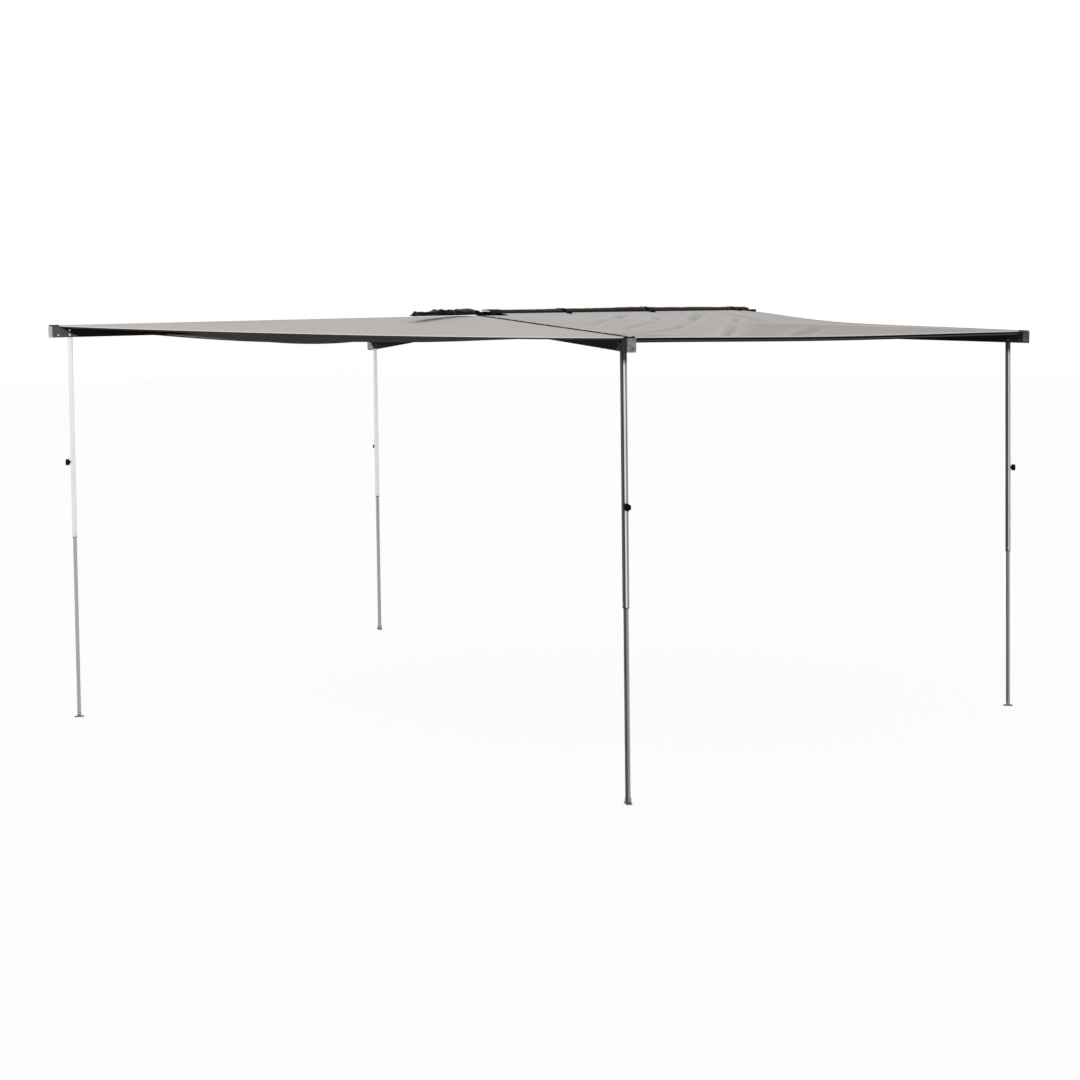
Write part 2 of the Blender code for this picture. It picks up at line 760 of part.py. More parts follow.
def back_slot(face, level):
    """Returns the points of the T-slot in the rail's back face, from its lower lip round."""
    mouth = SLOT_MOUTH / 2
    wide = SLOT_WIDTH / 2
    return [
        (face, level - mouth),
        (face - SLOT_LIP, level - mouth),
        (face - SLOT_LIP, level - wide),
        (face - SLOT_DEPTH, level - wide),
        (face - SLOT_DEPTH, level + wide),
        (face - SLOT_LIP, level + wide),
        (face - SLOT_LIP, level + mouth),
        (face, level + mouth),
    ]


def groove_level():
    """Returns the level of the bead groove that holds the canopy along the rail's front."""
    return rail_levels()[1] - GROOVE_WALL - GROOVE_RADIUS


def groove_reach():
    """Returns how far the groove's centre lies behind the edges of its mouth."""
    return math.sqrt(GROOVE_RADIUS**2 - (GROOVE_MOUTH / 2) ** 2)


def hollow_box():
    """Returns the near, far, low and high sides of the rail's hollow."""
    low, top = rail_levels()
    near = RAIL_FRONT + groove_reach() + GROOVE_RADIUS + RAIL_WALL
    far = rail_back() - SLOT_DEPTH - RAIL_WALL
    return near, far, low + RAIL_WALL, top - RAIL_WALL


def rail_mesh():
    """Returns the rail: a hollow box with a T-slot behind and a bead groove in front."""
    low, top = rail_levels()
    back = rail_back()
    front = RAIL_FRONT
    level = groove_level()
    half = math.degrees(math.asin(GROOVE_MOUTH / 2 / GROOVE_RADIUS))
    loop = [(front, low), (back, low)]
    loop += back_slot(back, (low + top) / 2)
    loop += [(back, top), (front, top), (front, level + GROOVE_MOUTH / 2)]
    centre = (front + groove_reach(), level)
    loop += arc(centre, GROOVE_RADIUS, 180 - half, half - 180, 10)[1:-1]
    loop += [(front, level - GROOVE_MOUTH / 2)]
    near, far, floor, roof = hollow_box()
    hollow = [(near, floor), (far, floor), (far, roof), (near, roof)]
    mesh = moved(outline_mesh([loop, hollow], RAIL_LENGTH), ALONG_X)
    return moved(mesh, Matrix.Translation((RAIL_START + RAIL_LENGTH / 2, 0, 0)))


def end_cap_mesh():
    """Returns the cap over the rail's front end, with the plug that holds it in the hollow."""
    low, top = rail_levels()
    x = RAIL_START + RAIL_LENGTH + TOUCH_GAP
    cover = box_mesh(
        (x, RAIL_FRONT, low), (x + END_CAP_THICKNESS, rail_back(), top), END_CAP_THICKNESS, 0
    )
    near, far, floor, roof = hollow_box()
    plug = box_mesh(
        (x - END_CAP_PLUG, near + TOUCH_GAP, floor + TOUCH_GAP),
        (x + END_CAP_THICKNESS / 2, far - TOUCH_GAP, roof - TOUCH_GAP),
    )
    return joined(cover, plug)


def rail_slope():
    """Returns the turn that tips the rail up towards its front end, about the pivot."""
    return Matrix.Rotation(-RAIL_RISE, 4, "Y")


def fan_angle(index):
    """Returns an arm's direction from the rail, turning away from the vehicle."""
    return -math.radians(sum(arm.fan_degrees for arm in ARMS[: index + 1]))


def arm_point(index, along, level, beside):
    """Returns a point on an arm: down its slope, above its centreline and beside it."""
    turn = fan_angle(index)
    out = Vector((math.cos(turn), math.sin(turn), 0))
    clockwise = Vector((math.sin(turn), -math.cos(turn), 0))
    droop = ARMS[index].droop
    flat = ARMS[index].block_end + along * math.cos(droop) + level * math.sin(droop)
    height = level * math.cos(droop) - along * math.sin(droop)
    return out * flat + clockwise * (lane(index) + beside) + Vector((0, 0, height))


def canopy_edge(index, share, beside):
    """Returns a point on the edge that the canopy shares with an arm, or with the rail at -1."""
    if index < 0:
        start, end = canopy_rail_span()
        level = groove_level() - CANOPY_THICKNESS / 2
        return rail_slope() @ Vector((start + (end - start) * share, RAIL_FRONT - beside, level))
    end = arm_length(ARMS[index]) - CANOPY_TIP_INSET
    along = CANOPY_ROOT_INSET + (end - CANOPY_ROOT_INSET) * share
    return arm_point(index, along, CHANNEL_HEIGHT / 2 + CANOPY_LIFT, beside)


def canopy_rail_span():
    """Returns where the canopy's edge on the rail starts and ends."""
    return RAIL_START + CANOPY_RAIL_INSET, RAIL_START + RAIL_LENGTH - CANOPY_RAIL_END_INSET


def swept(first, last, across):
    """Returns a point on the arc round the pivot that runs clockwise from one point to another."""
    start = math.atan2(first.y, first.x)
    turn = (math.atan2(last.y, last.x) - start) % (2 * math.pi) - 2 * math.pi
    radius = math.hypot(first.x, first.y) * (1 - across) + math.hypot(last.x, last.y) * across
    angle = start + turn * across
    height = first.z + (last.z - first.z) * across
    return Vector((radius * math.cos(angle), radius * math.sin(angle), height))


def canopy_mesh(index):
    """Returns the canopy from one arm, or the rail, to the next arm, as a thin hanging sheet.

    It lies flat over half of each arm's top, and hangs between the two flats.
    """
    panel = PANELS[index]
    shares = [j / CANOPY_ALONG for j in range(CANOPY_ALONG + 1)]
    lines = [[canopy_edge(index - 1, share, SEAM_GAP) for share in shares]]
    for i in range(CANOPY_ACROSS + 1):
        across = i / CANOPY_ACROSS
        line = []
        for share in shares:
            first = canopy_edge(index - 1, share, FLAT_ON_ARM)
            last = canopy_edge(index, share, -FLAT_ON_ARM)
            chord = first.lerp(last, across)
            point = chord.lerp(swept(first, last, across), (1 - share) ** 2)
            hollow = panel.edge_hollow * 4 * across * (1 - across) * share**2
            point -= Vector((point.x, point.y, 0)).normalized() * hollow
            point.z -= panel.hang(across, share)
            line.append(point)
        lines.append(line)
    lines.append([canopy_edge(index, share, -SEAM_GAP) for share in shares])
    shape = bmesh.new()
    rows = [[shape.verts.new(point) for point in line] for line in lines]
    for near, far in zip(rows, rows[1:]):
        for j in range(CANOPY_ALONG):
            shape.faces.new((near[j], near[j + 1], far[j + 1], far[j]))
    bmesh.ops.recalc_face_normals(shape, faces=shape.faces)
    mesh = bpy.data.meshes.new("canopy")
    shape.to_mesh(mesh)
    shape.free()
    if mesh.polygons[0].normal.z < 0:
        mesh.flip_normals()
    item = temporary(mesh)
    wall = item.modifiers.new("wall", "SOLIDIFY")
    wall.thickness = CANOPY_THICKNESS
    wall.offset = 1.0
    return evaluated_mesh(item)


def lofted_mesh(rings):
    """Returns a closed solid through rings of equally many points, capped at both ends."""
    shape = bmesh.new()
    loops = [[shape.verts.new(point) for point in ring] for ring in rings]
    count = len(loops[0])
    for near, far in zip(loops, loops[1:]):
        for k in range(count):
            n = (k + 1) % count
            shape.faces.new((near[k], near[n], far[n], far[k]))
    shape.faces.new(loops[0])
    shape.faces.new(loops[-1])
    bmesh.ops.recalc_face_normals(shape, faces=shape.faces)
    mesh = bpy.data.meshes.new("loft")
    shape.to_mesh(mesh)
    shape.free()
    return mesh


def cover_height(x):
    """Returns how high the folded cover stands on the rail, in slow uneven swells."""
    ripple = 0.08 * math.sin(5.3 * x) + 0.07 * math.sin(9.1 * x + 0.6)
    swell = math.sin(math.pi * min(1.0, x / (1.15 * COVER_LENGTH)))
    return COVER_LEAST_HEIGHT * (1 + ripple) + COVER_SWELL * swell


def cover_ring(x, height):
    """Returns one ring of the folded cover, flat on the rail and rounded above."""
    low = rail_levels()[1] + TOUCH_GAP
    half = RAIL_DEPTH / 2 + COVER_OVERHANG
    middle = RAIL_FRONT + RAIL_DEPTH / 2
    ring = [(x, middle - half, low), (x, middle + half, low)]
    for y, z in arc((0, 0), 1.0, 12, 168, 7):
        ring.append((x, middle + half * y, low + height * (0.25 + 0.75 * z**0.7)))
    return ring


def cover_mesh():
    """Returns the travel cover, folded flat along the top of the rail."""
    rings = []
    steps = 24
    for step in range(steps + 1):
        x = HINGE_PLATE_LENGTH + TOUCH_GAP + COVER_LENGTH * step / steps
        taper = 0.55 if step in (0, steps) else 1.0
        rings.append(cover_ring(x, cover_height(x) * taper))
    return lofted_mesh(rings)


def canopy_top_level(x, y):
    """Returns about how high the canopy's top lies at a point beyond the pivot."""
    away = math.hypot(x, y)
    droop = min(arm.droop for arm in ARMS)
    top = CHANNEL_HEIGHT / 2 + CANOPY_LIFT + CANOPY_THICKNESS
    return top - (away - BLOCK_LENGTH) * math.sin(droop)


def eased(value):
    """Returns a smooth step from 0 to 1 as the value goes from 0 to 1."""
    value = min(1.0, max(0.0, value))
    return value * value * (3 - 2 * value)


def cover_end_mesh():
    """Returns the cover's loose end, past the back of the pivot and crumpled over the canopy."""
    rings = []
    steps = 20
    start = BUNCH_START_WIDTH / 2
    behind = HINGE_PLATE_RADIUS + 10 * TOUCH_GAP + start
    start_low = rail_levels()[1] - BUNCH_START_HEIGHT - 4 * TOUCH_GAP
    for step in range(steps + 1):
        share = step / steps
        x = RAIL_START - TOUCH_GAP - BUNCH_LENGTH * share
        past = eased((share - 0.13) / 0.30)
        middle = behind * (1 - past) - BUNCH_WIDTH * 0.25 * past
        half = start + (BUNCH_WIDTH / 2 - start) * math.sin(math.pi * min(1.0, past * 0.75)) ** 0.8
        seat = rail_slope().inverted() @ Vector((x, middle, canopy_top_level(x, middle)))
        raised = eased(share / 0.07)
        low = start_low * (1 - raised) + (seat.z + BUNCH_CLEARANCE) * raised
        hump = 0.55 + 0.45 * abs(math.sin(7.0 * share + 0.9)) * (1 - 0.3 * share)
        height = BUNCH_START_HEIGHT * (1 - raised) + BUNCH_HEIGHT * hump * raised
        ring = [(x, middle - half, low), (x, middle + half, low)]
        for k, (y, z) in enumerate(arc((0, 0), 1.0, 12, 168, 7)):
            crease = 1 + 0.16 * raised * math.sin(2.3 * k + 9 * share)
            rise = BUNCH_SIDE + (1 - BUNCH_SIDE) * z**0.8
            ring.append((x, middle + half * y, low + height * crease * rise))
        rings.append(ring)
    return lofted_mesh(rings)


def canopy_level_before_rail(place, away):
    """Returns the canopy's top in front of the rail, at a distance from the rail's front face."""
    start, end = canopy_rail_span()
    share = (place - start) / (end - start)
    first = rail_slope().inverted() @ canopy_edge(-1, share, FLAT_ON_ARM)
    last = rail_slope().inverted() @ canopy_edge(0, share, -FLAT_ON_ARM)
    across = max(0.0, away - FLAT_ON_ARM) / abs(last.y - first.y)
    return first.z + (last.z - first.z) * across + CANOPY_THICKNESS


def strap_front():
    """Returns where the inner face of a strap runs down in front of the rail."""
    return RAIL_FRONT - COVER_OVERHANG - STRAP_CLEARANCE


def strap_mesh(place):
    """Returns one tie strap, over the folded cover and down in front of the rail."""
    ring = cover_ring(place, cover_height(place))
    middle = RAIL_FRONT + RAIL_DEPTH / 2
    grow = 1 + STRAP_CLEARANCE / (RAIL_DEPTH / 2 + COVER_OVERHANG)
    path = [(middle + (y - middle) * grow, z + STRAP_CLEARANCE) for x, y, z in ring[1:]]
    front = strap_front()
    seat = canopy_level_before_rail(place, COVER_OVERHANG) + STRAP_CLEARANCE
    tail = canopy_level_before_rail(place, STRAP_TAIL + COVER_OVERHANG) + STRAP_CLEARANCE
    path += [(front, seat + 0.005), (front - 0.003, seat + 0.0015)]
    path += [(RAIL_FRONT - FLAT_ON_ARM, seat), (front - STRAP_TAIL, tail)]
    shape = bmesh.new()
    left = [shape.verts.new((place - STRAP_WIDTH / 2, y, z)) for y, z in path]
    right = [shape.verts.new((place + STRAP_WIDTH / 2, y, z)) for y, z in path]
    for k in range(len(path) - 1):
        shape.faces.new((left[k], left[k + 1], right[k + 1], right[k]))
    mesh = bpy.data.meshes.new("strap")
    shape.to_mesh(mesh)
    shape.free()
    item = temporary(mesh)
    wall = item.modifiers.new("wall", "SOLIDIFY")
    wall.thickness = STRAP_THICKNESS
    wall.offset = 1.0
    wall.use_even_offset = True
    return weld(evaluated_mesh(item))


def buckle_mesh(place):
    """Returns the buckle at a tie strap's tail, with the slot that the strap's end runs to."""
    end = strap_front() - STRAP_TAIL - TOUCH_GAP
    wide, long, thick = BUCKLE_SIZE
    low = canopy_level_before_rail(place, STRAP_TAIL) + STRAP_CLEARANCE
    body = box_mesh((place - wide / 2, end - long, low), (place + wide / 2, end, low + thick), 0.003, 2)
    window = box_mesh(
        (place - wide / 3, end - long * 0.72, low - thick),
        (place + wide / 3, end - long * 0.32, low + 2 * thick),
    )
    return cut(body, window)


def build_rail(build, hub):
    """Adds the rail and everything that stays with it."""
    deck = build.frame("rail_slope", hub, turn=(0, -RAIL_RISE, 0))
    build.piece("backing_rail", rail_mesh(), "black", deck)
    build.piece("rail_end_cap", end_cap_mesh(), "plastic", deck)
    build.piece("hinge_plate", hinge_plate_mesh(), "steel", deck)
    build.piece("travel_cover", cover_mesh(), "cover", deck)
    build.piece("travel_cover_end", cover_end_mesh(), "cover", deck)
    for number, place in enumerate(STRAP_PLACES, 1):
        build.piece(f"tie_strap_{number}", strap_mesh(place), "webbing", deck)
        build.piece(f"strap_buckle_{number}", buckle_mesh(place), "plastic", deck)


def build_pivot(build, hub):
    """Adds the pivot bolt, its nut and the washers between the arms' eyes."""
    build.piece("pivot_bolt", bolt_mesh(), "steel", hub)
    build.piece("pivot_nut", nut_mesh(), "steel", hub)
    for index in range(len(ARMS) - 1):
        build.piece(f"pivot_washer_{index + 1}", washer_mesh(index), "plastic", hub)


def build_arm(build, hub, index, shared):
    """Adds one arm with its end bracket and its folding leg."""
    arm = ARMS[index]
    name = arm.name
    swing = build.frame(f"swing_{name}", hub, turn=(0, 0, fan_angle(index)))
    build.piece(f"arm_link_{name}", link_mesh(index), "bracket", swing)
    slope = build.frame(
        f"slope_{name}", swing, (arm.block_end, -lane(index), 0), (0, arm.droop, 0)
    )
    build.piece(f"arm_channel_{name}", channel_mesh(arm), "black", slope)
    tip = build.frame(f"tip_{name}", slope, (pin_along(arm), 0, 0))
    build.piece(f"tip_bracket_{name}", bracket_mesh(arm), "bracket", tip)
    pivot = build.frame(f"leg_pivot_{name}", tip, (0, 0, -PIN_DROP))
    build.piece(f"leg_pin_{name}", shared["pin"], "steel", pivot)
    leg = build.frame(f"leg_{name}", pivot, turn=(0, -arm.droop, 0))
    build.piece(f"leg_outer_{name}", outer_leg_mesh(arm), "bright", leg)
    build.piece(f"leg_bush_{name}", bush_mesh(arm), "plastic", leg)
    knob = build.frame(f"knob_{name}", leg, (0, 0, -KNOB_DROP))
    build.piece(f"lock_knob_{name}", shared["knob"], "plastic", knob)
    drop = pin_along(arm) * math.sin(arm.droop) + PIN_DROP * math.cos(arm.droop)
    floor = -(HUB_HEIGHT - drop)
    build.piece(f"leg_inner_{name}", inner_leg_mesh(floor + INNER_END_HEIGHT), "bright", leg)
    foot = build.frame(f"foot_{name}", leg, (0, 0, floor + FOOT_PIN_HEIGHT))
    build.piece(f"foot_plate_{name}", shared["foot"], "black", foot)
    build.piece(f"foot_pin_{name}", shared["foot_pin"], "steel", foot)


def centre_on_ground(build, root):
    """Moves the whole part so that its box is centred on the origin and stands on the ground."""
    bpy.context.view_layer.update()
    graph = bpy.context.evaluated_depsgraph_get()
    corners = []
    for item in build.parts.objects:
        shown = item.evaluated_get(graph)
        corners += [shown.matrix_world @ vertex.co for vertex in shown.data.vertices]
    low = [min(corner[k] for corner in corners) for k in range(3)]
    high = [max(corner[k] for corner in corners) for k in range(3)]
    root.location = (-(low[0] + high[0]) / 2, -(low[1] + high[1]) / 2, -low[2])
    bpy.context.view_layer.update()


def main():
    """Builds the awning."""
    clear_scene()
    build = Builder()
    root = build.frame("awning")
    hub = build.frame("hub", root, (0, 0, HUB_HEIGHT))
    cheek = CHANNEL_WIDTH / 2 + TOUCH_GAP + BRACKET_WALL + TOUCH_GAP
    shared = {
        "pin": headed_pin(PIN_RADIUS, cheek, PIN_HEAD_RADIUS, PIN_HEAD_HEIGHT),
        "knob": knob_mesh(),
        "foot": foot_mesh(),
        "foot_pin": headed_pin(
            FOOT_PIN_RADIUS, FOOT_WIDTH / 2 + TOUCH_GAP, FOOT_PIN_HEAD_RADIUS, FOOT_PIN_HEAD_HEIGHT
        ),
    }
    build_rail(build, hub)
    build_pivot(build, hub)
    for index in range(len(ARMS)):
        build_arm(build, hub, index, shared)
        build.piece(f"canopy_{PANELS[index].name}", canopy_mesh(index), "canopy", hub)
    centre_on_ground(build, root)


main()
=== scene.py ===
"""The looks of a fan-shaped side awning for a vehicle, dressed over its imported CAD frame."""

import logging
import math
from collections.abc import Callable, Sequence
from dataclasses import dataclass
from enum import Enum

import bpy
from mathutils import Matrix, Vector, noise
from mathutils.bvhtree import BVHTree


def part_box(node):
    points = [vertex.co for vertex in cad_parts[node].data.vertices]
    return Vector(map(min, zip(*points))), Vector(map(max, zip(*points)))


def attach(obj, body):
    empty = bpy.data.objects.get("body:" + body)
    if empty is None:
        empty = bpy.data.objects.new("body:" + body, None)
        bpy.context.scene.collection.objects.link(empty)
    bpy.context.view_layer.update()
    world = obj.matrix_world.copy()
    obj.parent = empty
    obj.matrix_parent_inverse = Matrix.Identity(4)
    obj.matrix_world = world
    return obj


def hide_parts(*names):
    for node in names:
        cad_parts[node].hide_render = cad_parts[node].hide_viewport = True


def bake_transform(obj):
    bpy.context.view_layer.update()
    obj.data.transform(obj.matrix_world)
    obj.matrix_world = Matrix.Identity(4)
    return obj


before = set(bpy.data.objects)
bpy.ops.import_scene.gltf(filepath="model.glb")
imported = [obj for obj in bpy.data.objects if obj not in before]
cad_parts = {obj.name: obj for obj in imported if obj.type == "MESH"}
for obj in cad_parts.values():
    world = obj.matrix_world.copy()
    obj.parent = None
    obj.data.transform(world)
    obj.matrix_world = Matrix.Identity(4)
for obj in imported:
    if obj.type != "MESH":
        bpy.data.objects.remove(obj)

log = logging.getLogger("side_awning")

Piece = bpy.types.Object
Material = bpy.types.Material
Socket = bpy.types.NodeSocket
Colour = tuple[float, float, float]
Pairs = tuple[tuple[float, float], ...]
FaceTest = Callable[[bpy.types.MeshPolygon], bool]
Step = Callable[[], object]
Laying = Callable[[float, float], Vector]


def clamped(value: float) -> float:
    """Returns a value kept between 0 and 1."""
    return max(0.0, min(1.0, value))


def eased(share: float) -> float:
    """Returns a share from 0 to 1 with a soft start and a soft end."""
    return share * share * (3 - 2 * share)


class Slot(Enum):
    """Names of material slots, passed along with new pieces but never read."""

    BLACK_METAL = "black_aluminium"
    GREY_METAL = "grey_aluminium"
    BRIGHT_METAL = "bright_tube"
    ZINC = "zinc_steel"
    PLASTIC = "black_plastic"
    CANOPY = "canopy_fabric"
    COVER = "cover_fabric"
    WEBBING = "webbing"


class Bench:
    """Blender's own modelling tools, used as by hand."""

    @staticmethod
    def clear() -> None:
        """Leaves nothing selected."""
        bpy.ops.object.select_all(action="DESELECT")

    @staticmethod
    def choose(piece: Piece) -> None:
        """Selects one piece alone."""
        Bench.clear()
        piece.select_set(True)
        bpy.context.view_layer.objects.active = piece

    @staticmethod
    def settle(piece: Piece) -> Piece:
        """Moves a piece's place, turn and size into its mesh."""
        Bench.choose(piece)
        bpy.ops.object.transform_apply(location=True, rotation=True, scale=True)
        return piece

    @staticmethod
    def box(name: str, low: Sequence[float], high: Sequence[float]) -> Piece:
        """Adds a box between two corners.

        Args:
            name: What the piece is called.
            low: Its lowest corner, in metres.
            high: Its highest corner.

        Returns:
            The new piece.
        """
        Bench.clear()
        middle = [(a + b) / 2 for a, b in zip(low, high)]
        bpy.ops.mesh.primitive_cube_add(size=1.0, location=middle)
        piece = bpy.context.object
        piece.name = name
        piece.scale = [b - a for a, b in zip(low, high)]
        return Bench.settle(piece)

    @staticmethod
    def post(name: str, radius: float, low: float, high: float, sides: int = 20) -> Piece:
        """Adds an upright round post about the Z axis.

        Args:
            name: What the piece is called.
            radius: Its radius in metres.
            low: The height of its foot.
            high: The height of its top.
            sides: How many sides stand for the round.

        Returns:
            The new piece.
        """
        Bench.clear()
        bpy.ops.mesh.primitive_cylinder_add(
            vertices=sides, radius=radius, depth=high - low, location=(0, 0, (low + high) / 2)
        )
        piece = bpy.context.object
        piece.name = name
        return Bench.settle(piece)

    @staticmethod
    def faces(
        piece: Piece,
        wanted: FaceTest,
        *steps: Step,
    ) -> Piece:
        """Shapes the chosen faces of a piece in edit mode.

        Args:
            piece: The piece to shape.
            wanted: Says whether a face is among those to shape.
            steps: What is done to them, in order.

        Returns:
            The same piece.
        """
        Bench.choose(piece)
        bpy.ops.object.mode_set(mode="EDIT")
        bpy.ops.mesh.select_mode(type="FACE")
        bpy.ops.mesh.select_all(action="DESELECT")
        bpy.ops.object.mode_set(mode="OBJECT")
        for face in piece.data.polygons:
            face.select = wanted(face)
        bpy.ops.object.mode_set(mode="EDIT")
        for step in steps:
            step()
        bpy.ops.object.mode_set(mode="OBJECT")
        return piece

    @staticmethod
    def outwards(piece: Piece) -> Piece:
        """Turns all of a piece's faces outwards."""
        return Bench.faces(
            piece, lambda face: True, lambda: bpy.ops.mesh.normals_make_consistent(inside=False)
        )

    @staticmethod
    def top(piece: Piece, upright: float = 0.9, within: float = 1e-6) -> FaceTest:
        """Returns the test for the faces on the very top of a piece."""
        height = max(vertex.co.z for vertex in piece.data.vertices)
        return lambda face: face.normal.z > upright and abs(face.center.z - height) < within

    @staticmethod
    def inset(thickness: float) -> Step:
        """Returns the step that draws the chosen faces in from their edges."""
        return lambda: bpy.ops.mesh.inset(thickness=thickness)

    @staticmethod
    def extrude(x: float, y: float, z: float) -> Step:
        """Returns the step that pulls the chosen faces out."""
        move = {"value": (x, y, z)}
        return lambda: bpy.ops.mesh.extrude_region_move(TRANSFORM_OT_translate=move)

    @staticmethod
    def round(offset: float, segments: int = 2) -> Step:
        """Returns the step that rounds the chosen faces' edges."""
        return lambda: bpy.ops.mesh.bevel(offset=offset, segments=segments, affect="EDGES")

    @staticmethod
    def squeeze(x: float, y: float, z: float) -> Step:
        """Returns the step that scales what is chosen about its middle."""
        return lambda: bpy.ops.transform.resize(value=(x, y, z))

    @staticmethod
    def modifier(piece: Piece, kind: str, **settings: object) -> Piece:
        """Adds a modifier, sets it and applies it.

        Args:
            piece: The piece that it changes.
            kind: Blender's name for the kind of modifier.
            settings: The modifier's own settings.

        Returns:
            The same piece.
        """
        added = piece.modifiers.new(kind.lower(), kind)
        for key, value in settings.items():
            setattr(added, key, value)
        Bench.choose(piece)
        bpy.ops.object.modifier_apply(modifier=added.name)
        return piece

    @staticmethod
    def smooth(piece: Piece, degrees: float = 35.0) -> Piece:
        """Shades a piece smoothly across its softer edges.

        Args:
            piece: The piece to shade.
            degrees: How far an edge may bend to be shaded smoothly.

        Returns:
            The same piece.
        """
        Bench.choose(piece)
        bpy.ops.object.shade_smooth_by_angle(angle=math.radians(degrees))
        return piece

    @staticmethod
    def strip(
        name: str,
        columns: int,
        rows: int,
        place: Laying,
        flat: Callable[[float, float], tuple[float, float]],
    ) -> Piece:
        """Adds a grid and lays each of its points where it belongs.

        Args:
            name: What the piece is called.
            columns: How many faces it has along u.
            rows: How many faces it has along v.
            place: Gives the place of a point from its u and v, each from 0 to 1.
            flat: Gives the point's place on the flat cloth, in metres, from u and v.

        Returns:
            The new piece, with a UV map in metres.
        """
        Bench.clear()
        bpy.ops.mesh.primitive_grid_add(x_subdivisions=columns, y_subdivisions=rows, size=1.0)
        piece = bpy.context.object
        piece.name = name
        mesh = piece.data
        shares = [(vertex.co.x + 0.5, vertex.co.y + 0.5) for vertex in mesh.vertices]
        spread = [flat(u, v) for u, v in shares]
        for vertex, (u, v) in zip(mesh.vertices, shares):
            vertex.co = place(u, v)
        for loop in mesh.loops:
            mesh.uv_layers.active.data[loop.index].uv = spread[loop.vertex_index]
        mesh.update()
        return piece

    @staticmethod
    def mark(piece: Piece, name: str, values: Sequence[float]) -> None:
        """Keeps one number with each of a piece's points.

        Args:
            piece: The piece.
            name: What the attribute is called.
            values: The numbers, in the order of the points.
        """
        attribute = piece.data.attributes.new(name, "FLOAT", "POINT")
        for item, value in zip(attribute.data, values):
            item.value = value

    @staticmethod
    def join(pieces: Sequence[Piece]) -> Piece:
        """Joins pieces into the first of them.

        Args:
            pieces: What is joined, at least one piece.

        Returns:
            The first piece, with all the meshes in it.
        """
        Bench.clear()
        for piece in pieces:
            piece.select_set(True)
        bpy.context.view_layer.objects.active = pieces[0]
        if len(pieces) > 1:
            bpy.ops.object.join()
        return pieces[0]

    @staticmethod
    def stamp(pattern: Piece, name: str, places: Sequence[Matrix]) -> Piece:
        """Copies a pattern to each place, each copy with its own mesh, and joins the copies.

        Args:
            pattern: The piece that is copied.
            name: What the joined copies are called.
            places: Where each copy goes.

        Returns:
            The joined copies.
        """
        copies = []
        for place in places:
            copy = pattern.copy()
            copy.data = pattern.data.copy()
            copy.data.transform(place)
            bpy.context.scene.collection.objects.link(copy)
            copies.append(copy)
        joined = Bench.join(copies)
        joined.name = name
        return joined

    @staticmethod
    def discard(*pieces: Piece) -> None:
        """Removes patterns that have been copied."""
        for piece in pieces:
            bpy.data.objects.remove(piece, do_unlink=True)


